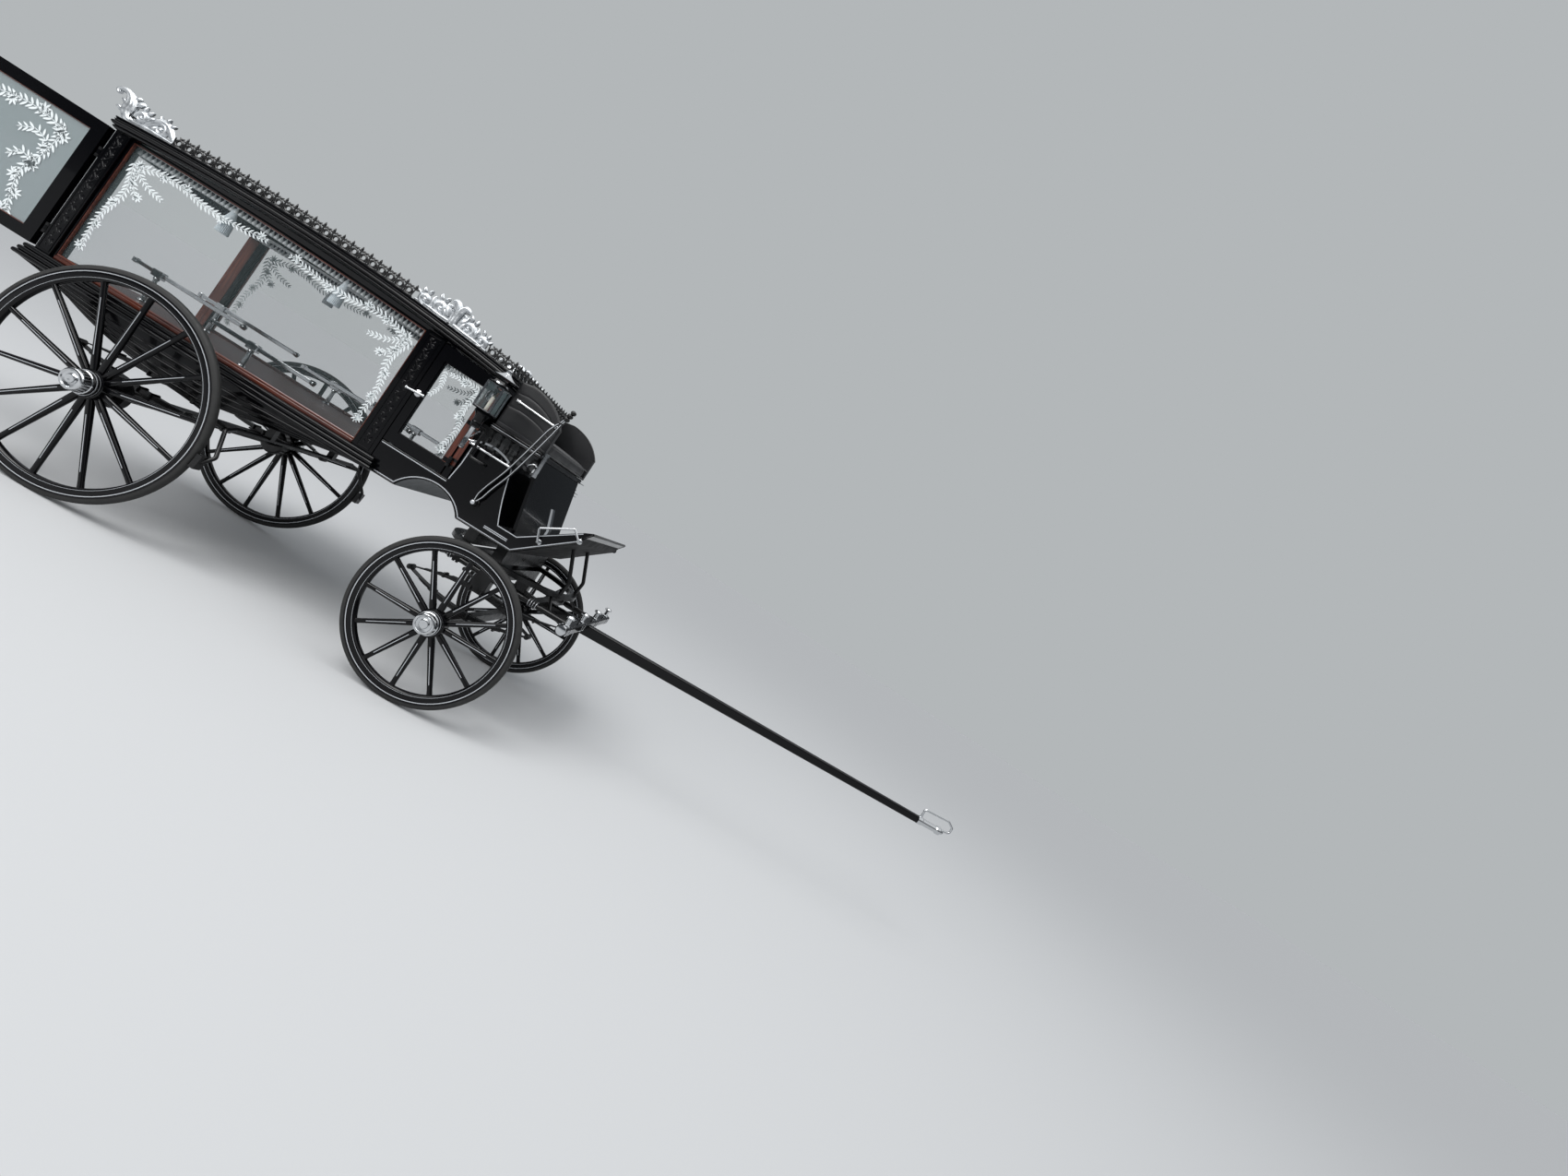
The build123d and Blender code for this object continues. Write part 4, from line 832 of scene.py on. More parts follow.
piece("window_mouldings", both(merge(moulding(red_bead, *window, top=under_z), sill_rail, sill_strip)),
      mahogany, replaces=["window_beads"])
piece("window_outer_mouldings", both(moulding(black_round, *window, top=under_z)), enamel)

# Quarter-round beads that hold each door's pane, inside its opening on both faces
pane_bead = [(0, -0.003), (0, 0.004), (0.003, 0.0065), (0.006, 0.004), (0.0075, -0.003)]
door_panes = [("rear_door_glass", "rear_door_body", mahogany, "mahogany")]
door_panes += [(f"quarter_glass_{name}", f"quarter_door_body_{name}", enamel, "black_wood")
               for name, _ in sides]
for name, body, finish, slot in door_panes:
    low, high = span(name)
    opening = low[[0, 2]] - 0.0005, high[[0, 2]] + 0.0005
    piece(name + "_beads", merge(moulding(pane_bead, *opening, low[1] - 0.002),
                                 moulding(pane_bead, *opening, high[1] + 0.002, 1.0)), finish, body)


# Carved posts: a running scroll in black on black
def curl(x, z, radius, start, hand):
    """A small spiral bar: its radius falls as a power of the way along."""
    u = np.linspace(0, 1, 20)
    r, a = radius * (0.16 + 0.84 * (1 - u) ** 1.5), start + hand * 2.4 * pi * u
    return tube(rows(x + r * np.cos(a), 0, z + r * np.sin(a)), 0.0037, 8,
                scale=0.45 + 0.55 * np.minimum(1, 1.6 * (1 - u)), up=Y)


def post_carving(x, z0, z1, y):
    """S-curves end to end up a post, each with two leaves, on the face at y."""
    count = int(round((z1 - z0) / 0.076))
    pitch = (z1 - z0) / count
    u = np.linspace(0, 1, 12)
    stem = tube(rows(0.011 * np.sin(2 * pi * u), 0, pitch * u), 0.0034, 6, scale=0.7 + 0.5 * np.sin(pi * u),
                up=Y)
    points, faces = merge(stem, curl(0.013, pitch * 0.36, 0.013, 2.2, -1),
                          curl(-0.013, pitch * 0.80, 0.012, 0.6, 1),
                          lobe((0.004, pitch * 0.55), 0.8, 0.026, 0.5, 0.8, 0.0040, 8),
                          lobe((-0.004, pitch * 0.14), 2.3, 0.026, 0.5, -0.8, 0.0040, 8))
    return copies((points * (1, 0.45, 1), faces), rows(x, y, z0 + pitch * np.arange(count)))


rear_post_x, front_post_x = post_low[0] + 0.0425, post_high[0] - 0.0625
fillet_bead = [(0, 0), (0.0015, 0.003), (0.0045, 0.003), (0.006, 0)]
carved = []
for x, half in ((rear_post_x, 0.034), (front_post_x, 0.040)):
    carved += [post_carving(x, sill_high[2] + 0.03, under_z(x) - 0.025, -side_face),
               moulding(fillet_bead, (x - half, sill_high[2] + 0.012),
                        (x + half, under_z(x) - 0.014), -side_face)]
piece("post_carvings", both(merge(*carved)), enamel, angle=50)
dress(enamel, "body_posts", "sill", "belly", "quarter_base", "boot_body", "bulkhead", "rear_door",
      "quarter_door_right", "quarter_door_left", "pole", "splinter_bar")
dress(mahogany, "deck_floor")
dress(nickel, "quarter_handle_right", "quarter_handle_left", "bright_fittings", "roller_bolts", "pole_head")
dress(iron, "rear_axle", "brake_gear", "fore_frame", "front_axle", "body_bearers", "lamp_irons", "door_hinges")

# Deck rails: square polished bars through blocks on fluted columns
deck_top = span("deck_rails")[0][2]
rail_knob = [(-0.014, 0.0145), (-0.006, 0.0170), (-0.002, 0.0125), (0.003, 0.0180), (0.008, 0.0180),
             (0.012, 0.0120), (0.016, 0.006)]


def rail_of(start, end, y, z, post):
    """One rail on the right: places along X of its two ends and of its column, its distance from the middle
    and its height. The column's radius is fluted by a cosine of ten times the angle."""
    half = 0.0125
    rail = [slab((start, -y - half, z - half), (end - 0.014, -y + half, z + half), 0.0025),
            block((post, -y, z - 0.003), (0.034, 0.019, 0.023), 0.0025),
            block((start + 0.013, -y, z), (0.013, 0.016, 0.016), 0.003), lathe(rail_knob, (end, -y, z), X, 24)]
    height = z - 0.026 - deck_top
    column = np.array([(0, 0.027), (0.005, 0.027), (0.007, 0.021), (0.012, 0.019), (0.016, 0.0145),
                       (height - 0.018, 0.0120), (height - 0.014, 0.0165), (height - 0.006, 0.0165),
                       (height, 0.0140)])
    flute = np.array((0, 0, 0, 0, 0.10, 0.10, 0, 0, 0))[:, None]
    t = np.linspace(0, 2 * pi, 60, endpoint=False)
    radius = column[:, 1:] * (1 - flute * (0.5 - 0.5 * np.cos(10 * t)))
    return merge(*rail, skin(rows(post + radius * np.cos(t), -y + radius * np.sin(t),
                                  deck_top + column[:, :1])))


column_x = front_x - 1.174
rails = [rail_of(rear_x - 0.690, rear_x + 0.060, 0.240, 1.318, rear_x - 0.520),
         rail_of(rear_x + 0.020, rear_x + 0.700, 0.400, 1.262, rear_x + 0.300),
         rail_of(column_x - 0.340, column_x + 0.220, 0.240, 1.318, column_x)]
piece("deck_rail_bars", both(merge(*rails)), nickel, replaces=["deck_rails"])


def arc3(start, middle, end, count=24):
    """Points (x, z) on the circle through three corners, from the first to the last."""
    a, b, c = (complex(*p) for p in (start, middle, end))
    w = (c - a) / (b - a)
    centre = a + (b - a) * (w - abs(w) ** 2) / (w - w.conjugate())
    t0, t1, t2 = (np.angle(p - centre) for p in (a, b, c))
    sweep = (t2 - t0) % (2 * pi)
    if (t1 - t0) % (2 * pi) > sweep:
        sweep -= 2 * pi
    t = t0 + sweep * np.linspace(0, 1, count)
    return rows(centre.real + abs(a - centre) * np.cos(t), centre.imag + abs(a - centre) * np.sin(t))


def dense(points, step=0.012):
    """Straight runs between (x, z) corners, cut into short steps."""
    p = np.asarray(points, float)
    return np.concatenate([np.linspace(a, b, max(2, int(np.linalg.norm(b - a) / step)))
                           for a, b in zip(p[:-1], p[1:])])


def fore(*points):
    """(x, z) points given from the front axle."""
    return np.add((front_x, 0), points)


def at_y(points, y):
    """(x, z) points as (x, y, z), each once."""
    p = np.asarray(points, float)
    p = p[np.concatenate([[True], np.linalg.norm(np.diff(p, axis=0), axis=1) > 1e-6])]
    return rows(p[:, 0], y, p[:, 1])


def stripe(points, y, width=0.0055):
    """A line of paint on the face at y: a thin flat band along (x, z) points."""
    return carry(at_y(points, y), oblong(width / 2, 0.0007), up=Y)


def bead_along(points, y, radius):
    """A round bead, a little flattened, along (x, z) points on the face at y."""
    return carry(at_y(points, y), ring_section(radius, 10, 0.8), up=Y)


# Hangings: gathered velvet pelmet, braid, silk fringe and tassels
pelmet_low, pelmet_high = span("pelmet")
pelmet_y, pelmet_drop = pelmet_high[1] - 0.004, 0.052


def valance(start, end, across, along_x):
    """A gathered strip of velvet hung from the underside, and its length measured along its folds: its pleats
    are a sine that deepens towards the hem."""
    run = abs(end - start)
    s, down = np.linspace(0, run, int(run / 0.003)), np.linspace(0, 1, 5)
    wave = 0.0026 * (np.sin(2 * pi * s / 0.024) + 0.35 * np.sin(2 * pi * s / 0.067 + 1))
    place = (start + (end - start) * s / run)[:, None]
    z = under_z(place if along_x else across) - 0.0005 - pelmet_drop * down
    face, back = (across + wave[:, None] * (0.25 + 0.75 * down) + half for half in (0.0008, -0.0008))
    face, back = (rows(place, q, z) if along_x else rows(q, place, z) for q in (face, back))
    length = np.linalg.norm(np.diff(rows(s, wave), axis=0), axis=1).sum()
    return skin(np.concatenate([face, back[:, ::-1]], 1)), length


pelmet_x0, pelmet_x1 = pelmet_low[0], pelmet_high[0]
valance_runs = [(pelmet_x0 + 0.006, pelmet_x1 - 0.006, s * pelmet_y, True) for s in (-1, 1)]
valance_runs += [(0.006 - pelmet_y, pelmet_y - 0.006, x, False) for x in (pelmet_x0 + 0.004, pelmet_x1 - 0.006)]
valances, lengths = zip(*[valance(*run) for run in valance_runs])
pelmet_cloth = piece("pelmet_velvet", merge(*valances), velvet, replaces=["pelmet"], angle=60)
drop_shape = lathe([(0, 0.0022), (0.005, 0.0038), (0.008, 0.0030), (0.014, 0.0052), (0.028, 0.0112),
                    (0.036, 0.0122), (0.039, 0.0100), (0.036, 0.004)], (0, 0, 0), -Z, 10)


def fringe(start, end, across, along_x):
    """A row of silk drops under a netted heading: a thin band with a round braid along its lower edge."""
    count = int(abs(end - start) / 0.029)
    s = start + (np.arange(count) + 0.5) * (end - start) / count
    drops, path = (rows(at, across, under_z(at) - down) if along_x else rows(across, at, under_z(across) - down)
                   for at, down in ((s, 0.016), (np.linspace(start, end, 120), 0.006)))
    return merge(copies(drop_shape, drops), carry(path, oblong(0.0012, 0.007, 0, -0.0015)),
                 tube(path - (0, 0, 0.0095), 0.0026, 8))


fringes = [fringe(pelmet_x0 + 0.004, pelmet_x1 - 0.010, s * (pelmet_y + d), True)
           for s in (-1, 1) for d in (0.0165, -0.0165)]
fringes += [fringe(0.016 - pelmet_y, pelmet_y - 0.016, x, False)
            for x in (pelmet_x0 - 0.012, pelmet_x1 - 0.022)]
silk_fringe = piece("silk_fringe", merge(*fringes), fringe_silk, angle=45)

# A tassel hung from the origin: cord, a head like a bell, tied neck and a skirt; a sine of fourteen times the
# angle flutes head and skirt
hang = np.array([(0, 0.003), (0.014, 0.003), (0.018, 0.0085), (0.024, 0.0115), (0.050, 0.0175), (0.078, 0.0260),
                 (0.086, 0.0285), (0.092, 0.0265), (0.096, 0.0255), (0.102, 0.0290), (0.118, 0.0315),
                 (0.150, 0.0338), (0.180, 0.0350), (0.184, 0.0335), (0.176, 0.016)])
t = np.linspace(0, 2 * pi, 112, endpoint=False)
flutes = np.interp(np.arange(len(hang)), [0, 3, 5, 8, 10, 13], [0, 0.05, 0.05, 0.02, 0.09, 0.07])[:, None]
radius = hang[:, 1:] * (1 - flutes * (1 - np.abs(np.sin(14 * t))))
tassel = merge(skin(rows(radius * np.cos(t), radius * np.sin(t), -hang[:, :1])),
               *[ring_band((0, 0, 0), -Z, d, r, 0.003, 0.0020, 40)
                 for d, r in ((0.0915, 0.0258), (0.0955, 0.0252), (0.0175, 0.0085))])
tassel_low, tassel_high = span("tassels")
tassel_x = np.array((tassel_low[0] + 0.024, tassel_high[0] - 0.024))
hung = copies(tassel, rows(tassel_x, 0.0355 - tassel_high[1], under_z(tassel_x) - 0.014))
piece("silk_tassels", both(hung), silk, replaces=["tassels"], angle=40)

# Belly: a rounded bead and a fine one along each board's lower edge
belly_beads = []
boards = (0.958, 0.588, 0.0), (0.915, 0.566, 0.026), (0.872, 0.542, 0.058), (0.830, 0.516, 0.096)
for low, half, back in boards:
    start, flat = (rear_x - 0.880 + back, sill_low[2]), (rear_x + 0.040, low)
    knee = (start[0] + (flat[0] - start[0]) * 0.45, low + (sill_low[2] - low) * 0.33)
    fore_part = dense([flat, (rear_x + 0.300, low), (front_x - 0.842 - back, sill_low[2])], 0.03)
    edge = np.concatenate([arc3(start, knee, flat, 40)[2:], fore_part[1:-1]])
    belly_beads += [bead_along(edge + (0, 0.006), -half, 0.0055), bead_along(edge + (0, 0.019), -half, 0.0022)]
piece("belly_beads", both(merge(*belly_beads)), enamel)

# Box sides: edge mouldings, the arch, and hand-drawn silver lines
boot_y = span("boot_body")[1][1]
arch_line = arc3(*fore((-0.693, 1.022), (-0.490, 1.152), (-0.287, 1.043)), 40)
edges = [np.concatenate([dense(fore((-0.882, 1.026), (-0.697, 1.026))), arch_line + (0, 0.004)]),
         dense(fore((-0.284, 1.047), (0.084, 1.047), (0.400, 1.310), (0.416, 1.352), (0.448, 1.391))),
         dense(fore((-0.882, 1.2115), (-0.446, 1.2115)))]
lines_drawn = [
    np.concatenate([arc3(*fore((-0.700, 1.034), (-0.490, 1.163), (-0.279, 1.055)), 40),
                    dense(fore((-0.279, 1.0565), (0.079, 1.0565), (0.394, 1.318)))]),
    np.concatenate([arc3(*fore((-0.169, 1.468), (-0.127, 1.316), (-0.058, 1.141)), 30),
                    dense(fore((-0.058, 1.140), (0.072, 1.140), (0.394, 1.3695)))]),
    *[dense(fore(*run)) for run in (
        ((-0.876, 1.036), (-0.700, 1.036)), ((-0.880, 1.203), (-0.450, 1.203)),
        ((-0.123, 1.098), (0.034, 1.098)), ((-0.123, 1.088), (0.034, 1.088)),
        ((-0.446, 1.222), (-0.432, 1.34), (-0.430, 1.455)))]]
piece("box_edges", both(merge(*[bead_along(points, -boot_y, 0.0045) for points in edges])), enamel)
piece("box_lines", both(merge(*[stripe(points, -boot_y - 0.0004) for points in lines_drawn])), line)
cloth_ring = [at_y(arch_line - (0, drop), s * (boot_y - 0.012))
              for s, drop in ((-1, 0.0012), (1, 0.0012), (1, 0.0002), (-1, 0.0002))]
piece("arch_lining", skin(np.stack(cloth_ring, 1)), lining)
under_line = fore((-0.280, 1.0418), (0.0865, 1.0418), (0.4035, 1.3055), (0.4190, 1.3515), (0.4170, 1.3525),
                  (0.4010, 1.3065), (0.0850, 1.0435), (-0.280, 1.0435))
piece("box_underside", sheet_of(under_line, -boot_y + 0.010, boot_y - 0.010), chassis)

# Mahogany facings beside the quarter window, across the bulkhead and on the posts' inner faces
facing_top, jamb_x, post_inner = 1.862, front_x - 0.495, -post_low[1] - 0.085
inner_faces = [slab((jamb_x + 0.001, -boot_y - 0.0018, 1.300),
                    (jamb_x + 0.037, -boot_y + 0.004, facing_top), 0.001)]
inner_faces += [slab((x - half, -post_inner, deck_top + 0.002),
                     (x + half, 0.003 - post_inner, under_z(x) - 0.060), 0.001)
                for x, half in ((rear_post_x, 0.0405), (front_post_x, 0.060))]
wall = slab((jamb_x - 0.005, -0.46, 1.222), (jamb_x + 0.004, 0.46, facing_top), 0.002)
piece("jamb_facings", merge(wall, both(merge(*inner_faces))), mahogany_upright)
for side_name, side in sides:
    low, high = span(f"quarter_glass_{side_name}")
    y0, y1 = sorted((side * (boot_y + 0.0016), side * (boot_y - 0.004)))
    strip = slab((high[0] + 0.001, y0, low[2]), (front_x - 0.506, y1, high[2]), 0.001)
    piece(f"quarter_facing_{side_name}", strip, mahogany_upright, f"quarter_door_body_{side_name}")

# Driver's seat: leather wings with arched pleats, stuffed cushion and back
wing_low, wing_high = span("seat_wings")


def wing_panel():
    """A leather wing and its row of stitches: over the width u and height v of its outline, the outer face
    stands out in four flat fields (1 - |2 f - 1|^10 over each) between seams that run with the arched top."""
    u, v = np.linspace(0, 1, 49), np.linspace(0, 1, 141)
    outer, inner = -wing_high[1], 0.040 - wing_high[1]
    x = wing_low[0] + 0.002 + (wing_high[0] - wing_low[0] - 0.004) * u
    arch = arc3(*fore((-0.342, 1.972), (-0.182, 1.926), (-0.076, 1.820)), 60)
    top = np.interp(x, [wing_low[0], *arch[:, 0]], [1.956, *arch[:, 1]])
    z = wing_low[2] + 0.002 + (top[:, None] - wing_low[2] - 0.004) * v
    seams = np.array((0.0, 0.08, 0.45, 0.765, 1.0))
    field = np.clip(np.searchsorted(seams, v, side="right") - 1, 0, 3)
    f = (v - seams[field]) / (seams[field + 1] - seams[field])
    swell = (1 - np.abs(2 * f - 1) ** 10) * np.where(field == 0, 0.45, 1.0)
    edge = np.minimum(1, np.minimum(u, 1 - u) / 0.04)[:, None] ** 0.5
    surface = np.concatenate([rows(x[:, None], outer + 0.0045 - 0.004 * edge * swell, z),
                              rows(x[:, None], inner, z)[:, ::-1]], 1)
    rim = rows(x, outer + 0.008, top - 0.003)
    welt = tube(rim, 0.0042, 10)
    studs = rows(np.arange(x[0] + 0.010, x[-1] - 0.006, 0.012), outer + 0.006, wing_low[2] + 0.030)
    stud = lathe([(-0.004, 0.0016), (0.001, 0.0016), (0.002, 0.0008)], (0, 0, 0), -Y, 6)
    return merge(skin(surface), copies(welt, [(0, 0, 0), (0, 0.030, 0)])), copies(stud, studs)


wing_leather, wing_stitches = wing_panel()
wings = piece("wing_leather", both(wing_leather), leather, replaces=["seat_wings"], angle=50)
piece("wing_stitches", both(wing_stitches), line)


def points_of(mesh):
    """A mesh's points as an array."""
    flat = np.empty(len(mesh.vertices) * 3, np.float32)
    mesh.vertices.foreach_get("co", flat)
    return flat.reshape(-1, 3).astype(float)


def pad(name, low, high, crown, corner):
    """A stuffed pad: a rounded box with its faces crowned by (1 - x^2)(1 - y^2), then swelled as cloth."""
    middle, half = np.add(low, high) / 2, np.subtract(high, low) / 2
    bpy.ops.mesh.primitive_cube_add(size=2)
    obj = bpy.context.object
    obj.name = obj.data.name = name
    bpy.ops.object.mode_set(mode="EDIT")
    bpy.ops.mesh.subdivide(number_cuts=15)
    bpy.ops.object.mode_set(mode="OBJECT")
    mesh = obj.data
    p = points_of(mesh)
    core = np.clip(p * half, corner - half, half - corner)
    d = p * half - core
    length = np.linalg.norm(d, axis=1, keepdims=True)
    q = middle + core + np.where(length > 0, d / np.maximum(length, 1e-9) * corner, 0)
    thin = int(np.argmin(half))
    dome = np.delete(1 - np.clip(p, -1, 1) ** 2, thin, 1).prod(1)
    q[:, thin] += crown * dome * np.sign(p[:, thin]) * (np.abs(p[:, thin]) > 0.5)
    mesh.vertices.foreach_set("co", q.astype(np.float32).ravel())
    mesh.materials.append(leather)
    mesh.polygons.foreach_set("use_smooth", np.ones(len(mesh.polygons), bool))
    swell_cloth(obj)
    subdivide = obj.modifiers.new("smooth", "SUBSURF")
    subdivide.levels = subdivide.render_levels = 1
    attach(obj, "body")
    return obj


def swell_cloth(obj):
    """Remesh at 9 mm, inflate for 20 frames without gravity, and let no point move further than 10 mm."""
    remesh = obj.modifiers.new("remesh", "REMESH")
    remesh.mode, remesh.voxel_size, remesh.use_smooth_shade = "VOXEL", 0.009, True
    bpy.context.view_layer.objects.active = obj
    bpy.ops.object.modifier_apply(modifier="remesh")
    start = points_of(obj.data)
    cloth = obj.modifiers.new("cloth", "CLOTH")
    cloth.settings.use_pressure = True
    cloth.settings.uniform_pressure_force = 4
    cloth.settings.quality = 4
    cloth.settings.effector_weights.gravity = 0
    cloth.point_cache.frame_start, cloth.point_cache.frame_end = 1, 20
    for at in range(1, 21):
        bpy.context.scene.frame_set(at)
    bpy.ops.object.modifier_apply(modifier="cloth")
    move = points_of(obj.data) - start
    move *= np.minimum(1, 0.010 / np.maximum(np.linalg.norm(move, axis=1, keepdims=True), 1e-9))
    obj.data.vertices.foreach_set("co", (start + move).astype(np.float32).ravel())
    obj.data.update()
    bpy.context.scene.frame_set(1)


cushion_low, cushion_high = span("seat_cushion")
seat_top, back_x, pad_half = wing_low[2], cushion_low[0] + 0.056, cushion_high[1]
seat_pad = pad("seat_pad", (back_x + 0.008, 0.006 - pad_half, seat_top + 0.004),
               (cushion_high[0] - 0.006, pad_half - 0.006, seat_top + 0.084), 0.010, 0.026)
pad("seat_back", (cushion_low[0] + 0.010, 0.006 - pad_half, seat_top + 0.006),
    (back_x - 0.008, pad_half - 0.006, cushion_high[2] - 0.010), 0.008, 0.020)
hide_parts("seat_cushion")

# Piped seams round the cushion
seam_length, seam_x = cushion_high[0] - back_x, (cushion_high[0] + back_x) / 2 + 0.001
seam = rounded(oblong(seam_length / 2, pad_half - 0.002, seam_x), 0.05, 8)
piping = tube(rows(*seam.T, seat_top + 0.012), 0.0042, 8, closed=True)
piece("seat_piping", copies(piping, [(0, 0, 0.064), (0, 0, 0)]), leather)

# Turned spindles and the moulded riser under the seat
spindle = [(0, 0.0115), (0.010, 0.0115), (0.014, 0.008), (0.030, 0.0062), (0.060, 0.0062), (0.066, 0.0092),
           (0.073, 0.0105), (0.080, 0.0092), (0.086, 0.0062), (0.116, 0.0062), (0.130, 0.008), (0.134, 0.0115),
           (0.142, 0.0115)]
frame_low, frame_high = span("seat_frame")
frame_y, riser_z = -frame_high[1], frame_high[2] - 0.036
spindles = copies(lathe(spindle, (0, 0, 0), Z, 16),
                  rows(front_x - np.array((0.402, 0.342, 0.282, 0.222)), frame_y + 0.024, frame_low[2]))
riser = slab((frame_low[0] + 0.001, frame_y, riser_z), (frame_high[0], -frame_y, frame_high[2] - 0.0005), 0.005)
riser_beads = [bead_along(dense([(frame_low[0] + 0.004, z), (frame_high[0] - 0.004, z)]), frame_y, 0.004)
               for z in (riser_z + 0.006, frame_high[2] - 0.006)]
riser_run = dense([(frame_low[0] + 0.006, riser_z + 0.018), (frame_high[0] - 0.006, riser_z + 0.018)])
piece("seat_riser", merge(riser, both(merge(spindles, *riser_beads))), enamel,
      replaces=["seat_frame"])
piece("riser_line", both(stripe(riser_run, frame_y - 0.0004, 0.004)), line)


# Lamps: square lanterns with bevelled panes, a reflector, a candle, a brimmed hood and the candle tube below
glass_low, glass_high = span("lamp_glasses")
lamp_half = 0.054


def tray(z, *profile):
    """A square body about the Z axis with cut corners: rings of (half width, height above z)."""
    rings = []
    for a, height in profile:
        b = a - min(0.008, a * 0.3)
        around = (b, -a), (a, -b), (a, b), (b, a), (-b, a), (-a, b), (-a, -b), (-b, -a)
        rings.append([(x, y, z + height) for x, y in around])
    return skin(rings)


def lamp(z0, z1):
    """One lantern about the Z axis, from its floor to its hood: black metal, bright metal and candle."""
    floor_at, hood_at = (0, 0, z0), (0, 0, z1)
    black = [tray(z0, (0.050, 0.0), (0.0545, 0.002), (0.0545, 0.008), (0.051, 0.011)),
             tray(z1 - 0.013, (0.051, 0.0), (0.0545, 0.003), (0.0545, 0.009), (0.050, 0.0125), (0.040, 0.0165),
                  (0.037, 0.024), (0.0365, 0.036)),
             lathe([(0, 0.0415), (0.006, 0.0465), (0.014, 0.0465), (0.020, 0.040), (0.032, 0.031),
                    (0.044, 0.0275), (0.066, 0.0255), (0.070, 0.0275), (0.078, 0.0275), (0.082, 0.0245),
                    (0.098, 0.0235), (0.100, 0.015)], floor_at, -Z, 40),
             lathe([(0.0395, 0.030), (0.0400, 0.062), (0.0455, 0.0645), (0.0456, 0.030)], hood_at, Z, 40)]
    bright = [lathe([(0.0458, 0.030), (0.0460, 0.0655), (0.0485, 0.0665), (0.0525, 0.058), (0.062, 0.038),
                     (0.072, 0.022), (0.080, 0.016), (0.081, 0.010)], hood_at, Z, 48),
              hoop([(0.0015, 0.0400), (0.0015, 0.0455), (0.0090, 0.0440), (0.0090, 0.0400)], hood_at, Z, 48),
              lathe([(0.079, 0.016), (0.082, 0.0185), (0.086, 0.014), (0.089, 0.0165), (0.094, 0.0165),
                     (0.098, 0.010), (0.103, 0.0045), (0.104, 0.001)], hood_at, Z, 24),
              lathe([(0.100, 0.0105), (0.101, 0.0132), (0.108, 0.0140), (0.112, 0.0128), (0.224, 0.0128),
                     (0.228, 0.0140), (0.236, 0.0140), (0.241, 0.010)], floor_at, -Z, 28)]
    for corner in oblong(lamp_half - 0.0045, lamp_half - 0.0045):
        pillar = rounded(oblong(0.0042, 0.0042, *corner), 0.0016, 3).T
        bright.append(skin([rows(*pillar, z) for z in (z0 + 0.009, z1 - 0.011)]))
    bevel = oblong(0.00225, 0.0015, 0.00225, 0.0015)
    bright += [moulding(bevel, (-0.0455, z0 + 0.010), (0.0455, z1 - 0.012), s * (lamp_half - 0.0055), s)
               for s in (-1, 1)]
    r = np.linspace(0.002, 0.034, 10)
    bowl = rows(0.004 + 9.0 * r ** 2, r)
    dish = np.concatenate([bowl, [bowl[-1] + (0.0015, 0.0012)], bowl[::-1] - (0.0015, 0)])
    bright.append(lathe(dish, (-0.039, 0, (z0 + z1) / 2 + 0.006), X, 32))
    wax = lathe([(0, 0.0095), (0.090, 0.0095), (0.094, 0.0080), (0.095, 0.002)], (0, 0, z0 + 0.009), Z, 20)
    wick = lathe([(0, 0.0011), (0.010, 0.0008)], (0, 0, z0 + 0.103), Z, 6)
    return merge(*black), merge(*bright), merge(wax, wick)


lamp_at = (glass_low[0] + glass_high[0]) / 2, (glass_high[0] - glass_low[0]) / 2 - glass_high[1], 0
lamp_black, lamp_bright, candle = (both(moved(shape, lamp_at))
                                   for shape in lamp(glass_low[2] - 0.010, glass_high[2] + 0.012))
piece("lamp_metal", lamp_black, enamel, replaces=["lamp_bodies"], angle=30)
piece("lamp_plate", lamp_bright, nickel, angle=30)
piece("lamp_candles", candle, wax_material)
dress(glass, "lamp_glasses")

# Brake lever: two silver-lined bars from one boss, joined under a grip of three balls
lever_y = -boot_y - 0.024
run_up = smooth_path(fore((-0.241, 1.184), (-0.212, 1.30), (-0.166, 1.440), (-0.124, 1.620), (-0.088, 1.790),
                          (-0.056, 1.888)), 90)
share = np.linspace(0, 1, 90)[:, None]
spread = 0.0165 * np.clip(np.minimum(share / 0.10, (1 - share) / 0.22), 0.25, 1) ** 0.8
normal = np.gradient(run_up, axis=0)[:, ::-1] * (-1, 1)
normal /= np.linalg.norm(normal, axis=1, keepdims=True)
tracks = [run_up + s * spread * normal for s in (-1, 1)]
bar_section = rounded(oblong(0.0065, 0.005), 0.002, 3)
balls = [(0.016 + 0.027 * k + 0.0150 * sin(a), (0.019 - 0.0015 * k) * cos(a) + 0.0015)
         for k in range(3) for a in np.linspace(-1.25, 1.25, 9)]
foot = (front_x - 0.241, -boot_y, 1.184)
lever_parts = [carry(at_y(track, lever_y), bar_section, up=Y) for track in tracks]
lever_parts += [block((front_x + x, lever_y, z), (0.014, 0.007, 0.006))
                for x, z in ((-0.123, 1.62), (-0.069, 1.86))]
lever_parts += [lathe([(0, 0.009), *balls, (0.084, 0.004)], (front_x - 0.056, lever_y, 1.886),
                      (0.28, 0, 0.96), 24),
                lathe([(0, 0.027), (0.006, 0.027), (0.010, 0.023), (0.018, 0.021), (0.029, 0.020),
                       (0.033, 0.013), (0.036, 0.012)], foot, -Y, 32)]
piece("lever_bars", merge(*lever_parts), iron, replaces=["brake_lever"], angle=40)
lever_cap = lathe([(0.0358, 0.0125), (0.0388, 0.0125), (0.0403, 0.010), (0.0408, 0.004)], foot, -Y, 24)
lever_lines = [stripe(track, lever_y - 0.0052, 0.0040) for track in tracks]
piece("lever_lines", merge(*lever_lines, lever_cap), line)

